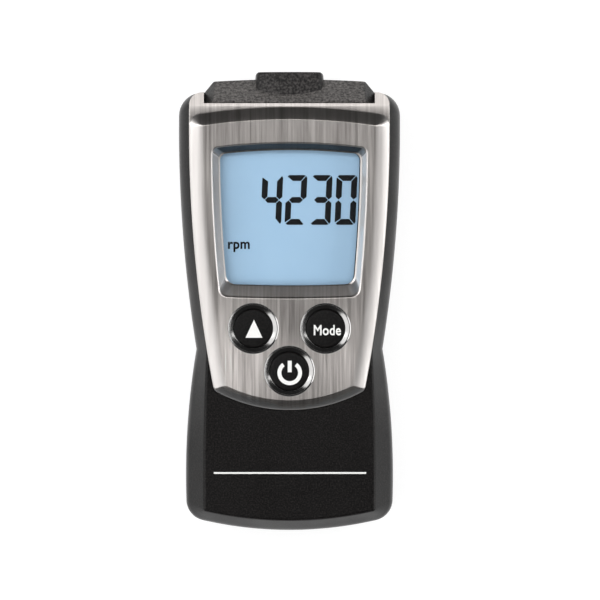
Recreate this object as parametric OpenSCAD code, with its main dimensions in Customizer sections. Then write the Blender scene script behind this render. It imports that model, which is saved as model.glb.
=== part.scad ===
// Pocket optical tachometer, lying on its flat back with the display up.
// +X is to the right of the display, +Y runs to the sensor nose, +Z points out of the display.
// The origin is in the plane of the back, under the middle of the outline. All lengths are millimetres.

/* [Housing] */
// Room between the board bosses and the flank beside the display
side_room = 1.2; // [1:0.1:4]
// Room between the screw bosses and the flank of the grip
grip_room = 0.95; // [0.8:0.05:3]
// How far the waist is drawn in from the grip, on each side
waist_in = 2.2; // [1.6:0.05:2.8]
// Length of the grip, from the bottom end to the waist
grip_l = 37.7; // [36:0.5:40]
// From the bottom end to the widest place of the grip
grip_wide_l = 11.5; // [10:0.5:14]
// From the nose to the widest place beside the display
head_wide_l = 11.5; // [9:0.5:20]
// From the top of the battery bay down to the parting line
part_in = 0.5; // [0.3:0.1:0.9]
// Wall thickness of both shells
wall = 1.8; // [1.5:0.1:2]
// Radius of the bowed bottom end
end_bow_r = 80; // [60:5:140]
// Radius of the bowed top end
top_bow_r = 240; // [160:10:300]
// Corner radius at the bottom end
end_corner_r = 4.4; // [3:0.1:5.5]
// Corner radius of the shoulders
shoulder_r = 4.8; // [3.6:0.1:5.4]
// Height of the rounded back edge
back_round_h = 5; // [3:0.5:6]
// Width of the rounded back edge
back_round_w = 2.7; // [1.5:0.1:3]
// Draft of the flanks, as the inset at the end of the straight stretch
flank_draft = 0.3; // [0.1:0.05:0.5]

/* [Front bevels] */
// Height of the bevelled front edge of the grip
bevel_h = 5.9; // [4:0.1:6.5]
// Width of the side bevels at the widest place of the grip
side_bevel_w = 3.95; // [2.5:0.05:4.5]
// Width of the side bevels at the waist
waist_bevel_w = 2.35; // [1.8:0.05:3]
// Width of the bevel at the bottom end
end_bevel_w = 2.4; // [1.5:0.05:3.5]
// Width of the softened edge between bevel and front face
soft_edge_w = 0.35; // [0.2:0.05:0.5]
// Height of the softened edge between bevel and front face
soft_edge_h = 0.15; // [0.1:0.05:0.25]

/* [Face plate] */
// Thickness of the drawn metal plate
plate_t = 0.8; // [0.6:0.05:1]
// Inset of the plate's side edges from the widest outline
plate_in = 2.3; // [2:0.05:2.8]
// From the bottom end of the housing to the bottom of the plate
plate_low_l = 25.1; // [24:0.1:26]
// Radius of the plate's bowed bottom edge
plate_low_r = 31.5; // [28:0.5:60]
// Corner radius at the bottom of the plate
plate_corner_r = 1.7; // [1.2:0.1:2.5]
// Depth of the pocket that the plate lies in
plate_sink = 1; // [0.8:0.05:1.3]
// Height of the plate's edge above the front face
plate_lip = 0.35; // [0.2:0.05:0.6]
// Height of the raised plateau above the front face
plateau_rise = 1.35; // [1.1:0.05:1.8]
// Width of the plateau's side bevels
plateau_side_w = 2.6; // [2:0.05:3]
// Width of the plateau's bottom bevel
plateau_low_w = 2.1; // [1.6:0.05:2.6]
// Width of the plateau's top bevel
plateau_top_w = 2.75; // [2:0.05:3]
// Radius of the bowed top edge of the raised part
plateau_bow_r = 125; // [90:5:200]
// From the shells' top end to the raised part
plateau_top_l = 3.95; // [3.5:0.05:4.6]
// Width of the flat strip between the raised part and the sensor head
strip_w = 0.75; // [0.5:0.05:1.2]

/* [Window] */
// Width of the recess at the top
recess_top_w = 32; // [30:0.5:33]
// How far the recess narrows towards the bottom, on each side
recess_taper = 1.7; // [0.5:0.1:2]
// Length of the recess
recess_l = 31.9; // [30:0.1:32]
// From the plateau's top edge to the recess
recess_in = 4.8; // [4.2:0.1:5.5]
// Radius of the bowed sides of the recess
recess_bow_r = 290; // [200:10:500]
// Corner radius at the top of the recess
recess_top_r = 1.4; // [1:0.1:2]
// Corner radius at the bottom of the recess
recess_low_r = 2; // [1.4:0.1:3]
// Width of the recess's sloping side walls
funnel_side_w = 1.6; // [1:0.1:2]
// Width of the recess's sloping top wall
funnel_top_w = 1.4; // [1:0.1:2]
// Width of the recess's sloping bottom wall
funnel_low_w = 2.6; // [1.5:0.1:3]
// Thickness of the clear pane
pane_t = 1.2; // [0.8:0.1:1.3]
// Overlap of the pane on its ledge
pane_ledge = 0.9; // [0.6:0.1:1.2]

/* [Keys] */
// Diameter of the key rings
ring_d = 10.5; // [10:0.1:11]
// Diameter of the key caps
cap_d = 8; // [7.4:0.1:8.2]
// Gap between the rings of the two upper keys
key_between = 4.4; // [3:0.1:6]
// Gap between the lower ring and each upper one
key_gap = 1.03; // [0.6:0.01:2]
// Gap between the bottom of the plate and the lower ring
key_low_gap = 2.85; // [2.5:0.05:5]
// Gap between the upper rings and the window recess
key_window_gap = 1.05; // [0.8:0.05:4]
// Height of the ring rims above the plateau
rim_proud = 0.25; // [0.15:0.05:0.4]
// Width of the polished rim at the top of a ring
rim_w = 0.2; // [0.1:0.05:0.3]
// Depth of the dished inside of a ring
dish_h = 1.1; // [0.8:0.05:1.4]
// Depth of the caps below the plateau
cap_sink = 0.35; // [0.2:0.05:0.6]
// Travel of the keys
key_travel = 0.6; // [0.3:0.05:0.7]
// Thickness of the flange that keeps a cap in its ring
key_flange_t = 0.9; // [0.7:0.05:1]
// Width of that flange
key_flange_w = 0.7; // [0.5:0.05:0.8]
// Side of the square switches
switch_w = 6; // [5:0.5:6.5]
// Height of the switches above the board
switch_h = 1.9; // [1.5:0.1:2]
// Diameter of the switch plungers
plunger_d = 3.2; // [2.5:0.1:3.5]

/* [Sensor head] */
// Width of the shoulder beside the head
shoulder_w = 5.4; // [5:0.1:8]
// Length of the head beyond the shells' top end
head_proud = 1.9; // [1.5:0.1:2.5]
// Drop of the sloping front face
head_slope_h = 5.1; // [4:0.1:6]
// Depth of the head's back edge below the front face
head_top_in = 0.2; // [0.1:0.05:0.5]
// Height of the head's underside above the back
head_low_h = 2.5; // [2.2:0.1:3.2]
// Width of the bevelled corners across
head_corner_w = 1.9; // [1.4:0.1:2.4]
// Length of the bevelled corners along
head_corner_l = 2.3; // [1.6:0.1:2.6]
// How many times steeper the bevelled corners are than the sloping front face
head_corner_rise = 2; // [1.2:0.1:2.6]
// Bow of the head's end face
head_bow = 0.5; // [0.3:0.05:0.8]
// From the parting line down to the nose's axis
nose_under = 0.3; // [0:0.05:0.5]
// Length of the nose beyond the head
nose_l = 1.4; // [1:0.1:2]
// Width of the nose at its tip
nose_w = 14; // [13:0.2:14.4]
// Depth of the nose, back to front
nose_d = 18.2; // [17:0.2:18.4]
// Draft of the nose, as the inset at its tip
nose_draft = 0.55; // [0.3:0.05:0.7]
// Radius of the crowned front and back of the nose
nose_crown_r = 21; // [18:1:40]
// Corner radius of the nose
nose_corner_r = 1.1; // [0.8:0.1:2.6]
// Diameter of the lens
lens_d = 11; // [10:0.2:11.4]
// Thickness of the lens at its edge
lens_edge_t = 1; // [0.8:0.1:1.2]
// Height of the lens's convex face
lens_sag = 0.8; // [0.5:0.05:0.9]
// Depth of the lens's tip below the end of the nose
lens_sink = 0.4; // [0.2:0.05:0.6]

/* [Optics] */
// Diameter of the tube that holds emitter and receiver
tube_d = 14; // [13:0.2:14.4]
// Distance between emitter and receiver
diode_pitch = 6; // [5.5:0.1:6.4]
// Diameter of emitter and receiver
diode_d = 3; // [2.6:0.1:3.2]
// Length of emitter and receiver in front of their flange
diode_l = 4.3; // [3.5:0.1:4.6]
// Diameter of their flange
diode_flange_d = 3.8; // [3.6:0.1:4.2]
// Thickness of their flange
diode_flange_t = 1; // [0.7:0.1:1.2]
// Diameter of their leads
lead_d = 0.5; // [0.4:0.05:0.6]
// Distance between the two leads of one
lead_pitch = 1.27; // [1.2:0.05:1.4]
// Length of tube behind the head
tube_tail_l = 4.2; // [4:0.1:5]
// Width of the small upright board
sensor_board_w = 17; // [15:0.5:18]
// Height of the small upright board
sensor_board_h = 13.4; // [11:0.2:13.6]
// Thickness of the small upright board
sensor_board_t = 1; // [0.8:0.1:1.2]

/* [Battery bay] */
// Diameter of a cell
cell_d = 10.5; // [10.2:0.05:10.5]
// Length of a cell, with its pip
cell_l = 44.5; // [43:0.5:45]
// Diameter of a cell's pip
pip_d = 3.8; // [3:0.1:5]
// Length of a cell's pip
pip_l = 0.8; // [0.6:0.1:1.2]
// Gap between the two cells
cell_between = 0.5; // [0.3:0.1:0.8]
// Gap between a cell and the bay
cell_gap = 0.3; // [0.2:0.05:0.35]
// Thickness of the bay's walls and roof
bay_wall = 1.1; // [0.8:0.1:1.2]
// Height of a pressed contact spring
spring_h = 3.2; // [2.6:0.1:4]
// Diameter of the springs' wire
spring_wire_d = 0.6; // [0.4:0.05:0.7]
// Diameter of the springs at the wide end
spring_wide_d = 7.4; // [6:0.2:8.4]
// Diameter of the springs at the cell
spring_narrow_d = 4.4; // [3:0.2:5]
// Turns of each spring
spring_turns = 3; // [2:1:4]
// Thickness of the contact plates
contact_t = 0.3; // [0.2:0.05:0.4]
// Side of the square contact plates
contact_w = 8.6; // [7:0.2:9.4]
// Width of the tabs that run to the board
tab_w = 2; // [1.5:0.1:3]
// Overlap of the cover's skin on each side of the bay
cover_over = 0.85; // [0.6:0.05:1.5]
// Thickness of the cover's outer skin
cover_lip_t = 1; // [0.8:0.05:1.2]
// Thickness of the cover's side tongues
tongue_t = 0.9; // [0.7:0.05:1.1]
// Width of the cover's side tongues
tongue_w = 0.9; // [0.6:0.05:1.1]
// Width of the rails beside the cover
rail_w = 2.3; // [2:0.1:2.5]
// Height of the rails above the cover
rail_h = 1.3; // [1:0.1:1.6]
// Length of the cover's thumb grooves
thumb_groove_w = 12; // [8:0.5:16]
// Width of one thumb groove
thumb_groove_d = 1; // [0.8:0.1:1.4]
// Number of thumb grooves
thumb_grooves = 4; // [3:1:5]

/* [Electronics] */
// Thickness of the main board
board_t = 1.2; // [1:0.1:1.6]
// Gap between bay roof and board
board_gap = 1.2; // [1.15:0.05:1.3]
// Gap between board edge and shell
board_edge_gap = 0.6; // [0.4:0.05:0.8]
// Thickness of the light guide
light_t = 2.2; // [2:0.1:5]
// Width of glass hidden on each side of the window
glass_side = 1.3; // [1:0.1:2]
// Thickness of the display glass
glass_t = 1.7; // [1.4:0.1:1.9]
// Length of glass beyond the recess at either end
glass_over = 0.4; // [0.2:0.1:0.8]
// Thickness of the seal between shell and glass
seal_t = 0.3; // [0.2:0.05:0.4]
// Width of the seal
seal_w = 0.8; // [0.6:0.1:1]
// Wall of the frame round the display
frame_t = 0.8; // [0.6:0.05:0.9]
// Width of the rubber contact strips
strip_contact_w = 1.4; // [1:0.1:1.8]
// Side of the square processor
chip_w = 10; // [7:0.5:12]
// Thickness of the processor
chip_t = 1; // [0.8:0.05:1.1]
// Diameter of the crystal's can
crystal_d = 2; // [1.5:0.1:2.4]
// Length of the crystal's can
crystal_l = 6; // [5:0.5:8]
// Number of pins between the boards
link_pins = 4; // [3:1:4]
// Distance between those pins
link_pitch = 2; // [1.8:0.05:2.2]
// Side of those square pins
link_pin_w = 0.5; // [0.4:0.05:0.6]

/* [Fasteners and fits] */
// Diameter of the shell screws
screw_d = 2.2; // [2:0.1:2.4]
// Diameter of the shell screws' heads
screw_head_d = 3.9; // [3.6:0.1:4]
// Height of the shell screws' heads
screw_head_h = 1.6; // [1.2:0.1:2]
// Depth of the shell screws' heads in the back
screw_sink = 4.4; // [3:0.2:6]
// Outer diameter of the screw bosses
boss_d = 4.6; // [4.4:0.1:4.8]
// Free space between a boss and the wall beside it
boss_gap = 0.8; // [0.6:0.1:1]
// Diameter of the board screws
small_screw_d = 1.6; // [1.4:0.1:1.8]
// Diameter of the board screws' heads
small_head_d = 2.9; // [2.6:0.1:3.1]
// Height of the board screws' heads
small_head_h = 0.9; // [0.7:0.05:1]
// Outer diameter of the board bosses
small_boss_d = 3.4; // [3.2:0.1:3.5]
// Running fit of pieces that slide or turn
slide_gap = 0.1; // [0.06:0.01:0.15]
// Fit of pieces that are only assembled
fit_gap = 0.05; // [0.03:0.01:0.08]
// Height of the lip that locates the shells
lip_h = 0.9; // [0.6:0.1:1.2]

/* [Hidden] */

$fn = 64;
// Overrun of every cut past the surface that it opens
over = wall / 2;

// Half widths, counted outwards from the cells and from the window
cell_x = (cell_d + cell_between) / 2;
bay_half = cell_x + cell_d / 2 + cell_gap;
cover_half = bay_half + cover_over;
rail_half = cover_half + rail_w;
grip_half = rail_half + boss_d + grip_room + wall;
recess_half = recess_top_w / 2;
glass_half = recess_half - funnel_side_w + glass_side;
body_half = glass_half + frame_t + slide_gap + small_boss_d + side_room + wall;
waist_half = min(body_half, grip_half) - waist_in;
head_half = body_half - shoulder_w;

// Heights, counted up from the flat back
cover_t = cover_lip_t + tongue_t;
cell_z = cover_t + cell_gap + cell_d / 2;
bay_top_z = cell_z + cell_d / 2 + cell_gap;
part_z = bay_top_z - part_in;
nose_z = part_z - nose_under;
bay_roof_z = bay_top_z + bay_wall - slide_gap;
board_z = bay_roof_z + board_gap;
board_top_z = board_z + board_t;
glass_z = board_top_z + light_t;
glass_top_z = glass_z + glass_t;
ceiling_z = glass_top_z + seal_t;
seat_z = ceiling_z + wall;
front_z = seat_z + plate_sink;
lip_z = front_z + plate_lip;
plateau_z = front_z + plateau_rise;
body_d = plateau_z + rim_proud;
bevel_z = front_z - bevel_h;

// Lengths between the keys
key_pitch = ring_d + key_between;
key_row_l = sqrt(pow(ring_d + key_gap, 2) - pow(key_pitch / 2, 2));
key_low_l = ring_d / 2 + key_low_gap;

// Lengths from the bottom end, which add up to the overall length
row_l = plate_low_l + key_low_l + key_row_l;
recess_end_l = row_l + ring_d / 2 + key_window_gap + recess_l;
plateau_l = recess_end_l + recess_in;
shells_l = plateau_l + plateau_top_w + plateau_top_l;
body_l = shells_l + head_proud + nose_l;
body_w = 2 * max(body_half, grip_half);

// Places along the housing
end_y = -body_l / 2;
nose_y = body_l / 2;
waist_y = end_y + grip_l;
grip_wide_y = end_y + grip_wide_l;
head_wide_y = nose_y - head_wide_l;
head_end_y = nose_y - nose_l;
top_y = head_end_y - head_proud;
raised_top_y = top_y - plateau_top_l;
notch_y = raised_top_y + strip_w;
plate_low_y = end_y + plate_low_l;
recess_top_y = end_y + recess_end_l;
recess_low_y = recess_top_y - recess_l;
key_low_y = plate_low_y + key_low_l;
key_row_y = key_low_y + key_row_l;

// Plan of the bay
bay_low_y = end_y + wall + back_round_w / 4;
bay_end_y = bay_low_y + 2 * contact_t + spring_h + cell_l;
cover_end_y = bay_end_y + bay_wall;

// Plan of the head and the optics
head_flange_w = 1.4;
head_flange_y = notch_y - slide_gap - head_flange_w;
seat_y = nose_y - lens_sink - lens_sag - lens_edge_t;
tube_y = head_flange_y - tube_tail_l;
// Share of the head's depth that the tube reaches into
tube_depth_share = 0.45;
tube_end_y = head_flange_y + (seat_y - head_flange_y) * tube_depth_share;
sensor_board_y = tube_y - sensor_board_t;
board_end_y = sensor_board_y - fit_gap;
board_low_y = plate_low_y + wall / 8;

// Places of the keys: left, right and lower
key_at = [[-key_pitch / 2, key_row_y], [key_pitch / 2, key_row_y], [0, key_low_y]];
cap_top_z = plateau_z - cap_sink;
key_flange_z = ceiling_z - slide_gap - key_flange_t;
switch_top_z = board_top_z + switch_h;
barrel_r = ring_d / 2 - rim_w - fit_gap;

// Places of the screws
boss_r = boss_d / 2;
shell_screw_at = [
    [body_half - wall - boss_r - boss_gap, head_flange_y - boss_r - boss_gap],
    [rail_half + boss_r, end_y + grip_wide_l - boss_gap]
];
board_screw_at = [
    [glass_half + frame_t + small_boss_d / 2 + slide_gap, (recess_top_y + recess_low_y) / 2 + small_boss_d],
    [bay_half - small_boss_d / 2 - slide_gap, board_low_y + small_boss_d / 2 + board_edge_gap]
];

// Numbers of steps along the curves of an outline, from the bottom end to the top end
body_steps = [6, 9, 14, 5];
plate_steps = [8, 12, 6];
recess_steps = [3, 8, 3];
nose_steps = [5, 3, 5];
round_steps = 6;

// Point where two circles meet, on the left of the way from the first centre to the second
function meet(a, ra, b, rb) =
    let (
        d = norm(b - a),
        along = (ra * ra - rb * rb + d * d) / (2 * d),
        aside = sqrt(max(0, ra * ra - along * along)),
        u = (b - a) / d
    )
    a + along * u + aside * [-u[1], u[0]];

// Direction of a point seen from a centre
function bearing(c, p) = atan2(p[1] - c[1], p[0] - c[0]);

// Point of a circle in one direction
function on_circle(c, r, angle) = c + r * [cos(angle), sin(angle)];

// Circle that is widest at one height and passes a narrower place at another, as centre and radius
function bow(wide, wide_y, narrow, narrow_y) =
    let (
        dx = wide - narrow,
        dy = wide_y - narrow_y,
        r = (dx * dx + dy * dy) / (2 * dx)
    )
    [[wide - r, wide_y], r];

// Circle of a given radius through two places of the right side, as centre and radius
function side_through(low, high, r) = [meet(low, r, high, r), r];

// Right half of an outline: circles in order from the bottom to the top, rounded where they meet,
// or creased where the round is 0
function half_outline(curves, rounds, steps) =
    let (
        last = len(curves) - 1,
        joints = [
            for (i = [0:last - 1])
                let (a = curves[i], b = curves[i + 1], r = rounds[i])
                r > 0 ? meet(a[0], a[1] - r, b[0], b[1] - r) : meet(b[0], b[1], a[0], a[1])
        ]
    )
    [
        for (i = [0:last])
            let (
                c = curves[i][0],
                from = i == 0 ? -90 : bearing(c, joints[i - 1]),
                to = i == last ? 90 : bearing(c, joints[i]),
                lead = i == 0 ? 0.5 : 0,
                tail = i == last ? 0.5 : 0,
                start = i > 0 && rounds[i - 1] == 0 ? 1 : 0,
                along = [
                    for (k = [start:steps[i]])
                        on_circle(c, curves[i][1], from + (to - from) * (k + lead) / (steps[i] + lead + tail))
                ],
                corner = i == last || rounds[i] == 0 ? [] : [
                    for (k = [1:round_steps - 1])
                        let (b = bearing(curves[i + 1][0], joints[i]))
                        on_circle(joints[i], rounds[i], to + (b - to) * k / round_steps)
                ]
            )
            each concat(along, corner)
    ];

// Whole outline from its right half
function whole(half) = concat(half, [for (i = [len(half) - 1:-1:0]) [-half[i][0], half[i][1]]]);

// Corner radius after an inset
function shrunk(r, inset) = max(r / 8, r - inset);

// Outline of the housing with an inset at the display, the waist, the grip, the bottom end and the top end
function body_outline(at_head, at_waist, at_grip, at_end, at_top) =
    whole(half_outline(
        [
            [[0, end_y + end_bow_r], end_bow_r - at_end],
            bow(grip_half - at_grip, grip_wide_y, waist_half - at_waist, waist_y),
            bow(body_half - at_head, head_wide_y, waist_half - at_waist, waist_y),
            [[0, top_y - top_bow_r], top_bow_r - at_top]
        ],
        [shrunk(end_corner_r, at_grip), 0, shrunk(shoulder_r, at_head)],
        body_steps
    ));

// The same inset all round
function even_outline(inset) = body_outline(inset, inset, inset, inset, inset);

// Outline of the face plate with its own top edge
function plate_outline(at_side, at_low, at_top, top_edge_y, top_r) =
    whole(half_outline(
        [
            [[0, plate_low_y + plate_low_r], plate_low_r - at_low],
            bow(body_half - plate_in - at_side, head_wide_y, waist_half - plate_in - at_side, waist_y),
            [[0, top_edge_y - top_r], top_r - at_top]
        ],
        [shrunk(plate_corner_r, at_low), shrunk(shoulder_r - plate_in, at_side)],
        plate_steps
    ));

// Outline of the part of the plate that is raised above its flange
function raised_outline(at_side, at_low, at_top) =
    plate_outline(at_side, at_low, at_top, raised_top_y, plateau_bow_r);

// Outline of the window recess, drawn in by the three walls
function recess_outline(at_side, at_low, at_top) =
    let (
        low = [recess_half - recess_taper - at_side, recess_low_y],
        high = [recess_half - at_side, recess_top_y]
    )
    whole(half_outline(
        [
            [[0, recess_low_y + at_low + recess_bow_r], recess_bow_r],
            side_through(low, high, recess_bow_r),
            [[0, recess_top_y - at_top - plateau_bow_r], plateau_bow_r]
        ],
        [recess_low_r, recess_top_r],
        recess_steps
    ));

// Cross-section of the nose
function nose_outline(inset) =
    let (
        half_w = nose_w / 2 + nose_draft - inset,
        half_d = nose_d / 2 + nose_draft - inset
    )
    whole(half_outline(
        [
            [[0, nose_crown_r - half_d], nose_crown_r],
            [[half_w - nose_crown_r * 4, 0], nose_crown_r * 4],
            [[0, half_d - nose_crown_r], nose_crown_r]
        ],
        [nose_corner_r, nose_corner_r],
        nose_steps
    ));

// Outline lifted to a height
function level(outline, z) = [for (p = outline) [p[0], p[1], z]];

// Solid through a stack of outlines that have as many points each and mirror about x = 0
module loft(rings) {
    n = len(rings[0]);
    half = n / 2;
    top = len(rings) - 1;
    base_cap = [for (i = [0:half - 2]) [i, i + 1, n - 2 - i, n - 1 - i]];
    top_cap = [for (f = base_cap) [for (k = [3:-1:0]) f[k] + top * n]];
    sides = [
        for (k = [0:top - 1], j = [0:n - 1])
            let (
                a = k * n + j,
                b = a + n,
                c = (k + 1) * n + (j + 1) % n,
                d = k * n + (j + 1) % n
            )
            each [[a, b, c], [a, c, d]]
    ];
    polyhedron(points = [for (r = rings) each r], faces = concat(base_cap, sides, top_cap));
}

// Repeats its children on both sides
module both_sides() {
    children();
    mirror([1, 0, 0]) children();
}

// Cylinder that starts at a place and runs up
module post(at, r, z, top) {
    translate([at[0], at[1], z]) cylinder(r = r, h = top - z);
}

// Cylinder that starts at a place and runs towards the nose
module rod(x, z, r, y, end) {
    translate([x, y, z]) rotate([-90, 0, 0]) cylinder(r = r, h = end - y);
}

// Block between two corners
module block(low, high) {
    translate(low) cube(high - low);
}

// Block centred on x = 0
module mid_block(half, y, end, z, top) {
    block([-half, y, z], [half, end, top]);
}

// Insets of the rounded back edge, drawn as a quarter of an ellipse
back_steps = 5;
function back_rows(inset) = [
    for (k = [0:back_steps])
        let (a = 90 * k / back_steps)
        [inset + flank_draft + (back_round_w - inset / 2) * (1 - sin(a)), inset + back_round_h * (1 - cos(a))]
];

// Power that curves the flank beside the display, from the bevel's foot up to the plate
flank_power_share = 1.7;
// Rows of the front shell's bevel, as shares of its height
front_row_shares = [0, 0.25, 0.5, 0.7];

// Outline of the front shell at a height, drawn in by a wall
function front_outline(z, inset) =
    let (
        up = max(0, z - bevel_z),
        soft_z = front_z - soft_edge_h,
        share = min(1, up / (soft_z - bevel_z)),
        edge = z > soft_z ? soft_edge_w : 0,
        flank = inset + flank_draft * min(1, (z - part_z) / (bevel_z - part_z)),
        head_share = pow(min(1, up / (seat_z - bevel_z)), flank_power_share)
    )
    body_outline(
        flank + (plate_in - flank_draft) * head_share + edge,
        flank + (waist_bevel_w - flank_draft - soft_edge_w) * share + edge,
        flank + (side_bevel_w - flank_draft - soft_edge_w) * share + edge,
        flank + (end_bevel_w - flank_draft - soft_edge_w) * share + edge,
        flank
    );

// Outside of the rear shell, which also shapes the end of the cover
module rear_outside() {
    rows = back_rows(0);
    loft(concat([for (r = rows) level(even_outline(r[0]), r[1])], [level(even_outline(0), part_z)]));
}

// Inside of the rear shell
module rear_inside() {
    rows = back_rows(wall);
    low = [for (k = [0:2:back_steps - 1]) rows[k]];
    high = [
        level(even_outline(wall + flank_draft), rows[back_steps][1]),
        level(even_outline(wall), part_z + over)
    ];
    loft(concat([for (r = low) level(even_outline(r[0]), r[1])], high));
}

// Flat ring between two outlines, between two heights
module outline_ring(outer, inner, z, top) {
    translate([0, 0, z]) linear_extrude(top - z) difference() {
        polygon(outer);
        polygon(inner);
    }
}

// Space that the sensor head takes in the shells' top end
module head_opening(gap) {
    mid_block(head_half + gap, notch_y - gap, nose_y, head_low_h - gap, body_d);
}

// Space for the cover's skin and tongues, open at the bottom end
module cover_slot() {
    mid_block(cover_half + slide_gap, end_y - over, cover_end_y + slide_gap, -over, cover_lip_t);
    mid_block(cover_half + tongue_w + slide_gap, end_y - over, cover_end_y + slide_gap,
        cover_lip_t - slide_gap, cover_t + slide_gap);
}

// Moulded rear shell with the bay, the rails and the screw bosses
module rear_shell() {
    color("#2a2827") difference() {
        union() {
            difference() {
                rear_outside();
                difference() {
                    rear_inside();
                    mid_block(bay_half + bay_wall, end_y, bay_end_y + bay_wall, 0, part_z + over);
                    mid_block(rail_half, end_y, cover_end_y + rail_w, 0, cover_t + rail_h);
                    both_sides() for (at = shell_screw_at) post(at, boss_r, 0, part_z + over);
                }
            }
            mid_block(bay_half + bay_wall, bay_low_y, bay_end_y + bay_wall, part_z - over, bay_roof_z);
            outline_ring(even_outline((wall + slide_gap) / 2), even_outline(wall),
                part_z - over, part_z + lip_h);
        }
        mid_block(bay_half, bay_low_y, bay_end_y, cover_t - slide_gap, bay_top_z);
        cover_slot();
        head_opening(fit_gap);
        mid_block(head_half + over, head_flange_y, top_y - wall, head_low_h + over, part_z + over);
        both_sides() for (at = shell_screw_at) {
            post(at, screw_head_d / 2 + slide_gap, -over, screw_sink);
            post(at, screw_d / 2 + slide_gap, 0, part_z + over);
        }
        for (x = [-cell_x, cell_x]) tab_slot(x, bay_top_z - over, bay_roof_z + over);
    }
}

// Slot that lets a contact tab through a roof or a board
module tab_slot(x, z, top) {
    block([x - tab_w / 2 - slide_gap, bay_end_y - contact_t - slide_gap, z],
        [x + tab_w / 2 + slide_gap, bay_end_y + slide_gap, top]);
}

// Moulded front shell with the pocket for the plate, the window and the key guides
module front_shell() {
    bevel_rows = [for (s = front_row_shares) bevel_z + bevel_h * s];
    rows = concat([part_z], bevel_rows, [seat_z, front_z - soft_edge_h, front_z]);
    hollow_rows = [bevel_z, (bevel_z + ceiling_z) / 2, ceiling_z];
    color("#2a2827") difference() {
        loft([for (z = rows) level(front_outline(z, 0), z)]);
        difference() {
            loft(concat([level(front_outline(part_z, wall), part_z - over)],
                [for (z = hollow_rows) level(front_outline(z, wall), z)]));
            both_sides() {
                for (at = shell_screw_at) post(at, boss_r, part_z, ceiling_z + over);
                for (at = board_screw_at) post(at, small_boss_d / 2, board_top_z, ceiling_z + over);
            }
        }
        // Rebate for the locating lip
        translate([0, 0, part_z - over]) linear_extrude(over + lip_h + slide_gap)
            polygon(even_outline(wall / 2 - slide_gap / 2));
        // Pocket for the plate
        translate([0, 0, seat_z]) linear_extrude(body_d) polygon(plate_outline(-slide_gap, -slide_gap, -over,
            top_y, top_bow_r));
        // Window and the ledge of its pane
        translate([0, 0, ceiling_z - over]) linear_extrude(wall + 2 * over)
            polygon(recess_outline(funnel_side_w, funnel_low_w, funnel_top_w));
        translate([0, 0, seat_z - pane_t]) linear_extrude(pane_t + over)
            polygon(recess_outline(funnel_side_w - pane_ledge - fit_gap, funnel_low_w - pane_ledge - fit_gap,
                funnel_top_w - pane_ledge - fit_gap));
        for (at = key_at) post(at, barrel_r + fit_gap, ceiling_z - over, seat_z + over);
        head_opening(fit_gap);
        both_sides() {
            for (at = shell_screw_at) post(at, screw_d / 2, part_z - over, ceiling_z - over);
            for (at = board_screw_at) post(at, small_screw_d / 2, board_top_z - over, ceiling_z - over / 2);
        }
    }
}

// Drawn metal plate with its raised plateau and the funnel down to the window
module face_plate() {
    turn_in = plate_t * (plateau_side_w / (plateau_rise - plate_lip + plateau_side_w));
    funnel_z = seat_z + slide_gap;
    raised = [
        level(raised_outline(0, 0, 0), lip_z - over),
        level(raised_outline(0, 0, 0), lip_z),
        level(raised_outline(plateau_side_w, plateau_low_w, plateau_top_w), plateau_z)
    ];
    hollow = [
        level(raised_outline(plate_t, plate_t, plate_t), seat_z - over),
        level(raised_outline(plate_t, plate_t, plate_t), lip_z - plate_t / 2),
        level(raised_outline(plateau_side_w + turn_in, plateau_low_w + turn_in, plateau_top_w + turn_in),
            plateau_z - plate_t)
    ];
    color("#b9b2ac") difference() {
        union() {
            difference() {
                union() {
                    translate([0, 0, seat_z]) linear_extrude(front_z - seat_z) difference() {
                        polygon(plate_outline(0, 0, 0, top_y - flank_draft, top_bow_r));
                        translate([-head_half - fit_gap, notch_y - fit_gap])
                            square([2 * (head_half + fit_gap), body_l]);
                    }
                    loft(raised);
                }
                loft(hollow);
            }
            loft([
                level(recess_outline(funnel_side_w - plate_t, funnel_low_w - plate_t, funnel_top_w - plate_t),
                    funnel_z),
                level(recess_outline(-plate_t, -plate_t, -plate_t), plateau_z - plate_t / 2)
            ]);
        }
        loft([
            level(recess_outline(funnel_side_w, funnel_low_w, funnel_top_w), funnel_z - over),
            level(recess_outline(funnel_side_w, funnel_low_w, funnel_top_w), funnel_z),
            level(recess_outline(0, 0, 0), plateau_z),
            level(recess_outline(0, 0, 0), plateau_z + over)
        ]);
        for (at = key_at) post(at, barrel_r + fit_gap, seat_z - over, body_d);
    }
}

// Plan of the sensor head in front of its flange
function head_plan() =
    let (
        bow_r = (pow(head_half - head_corner_w, 2) + head_bow * head_bow) / (2 * head_bow),
        span = asin((head_half - head_corner_w) / bow_r),
        arc_steps = 8
    )
    concat(
        [[-head_half, notch_y], [head_half, notch_y], [head_half, head_end_y - head_bow - head_corner_l]],
        [
            for (k = [0:arc_steps])
                on_circle([0, head_end_y - bow_r], bow_r, 90 - span + 2 * span * k / arc_steps)
        ],
        [[-head_half, head_end_y - head_bow - head_corner_l]]
    );

// Half space that bevels the head along a line of its plan
module head_bevel(at, turn, z, tilt) {
    translate([at[0], at[1], z]) rotate([0, 0, turn]) rotate([tilt, 0, 0])
        translate([-body_w, 0, 0]) cube([2 * body_w, body_w, body_w]);
}

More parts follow.
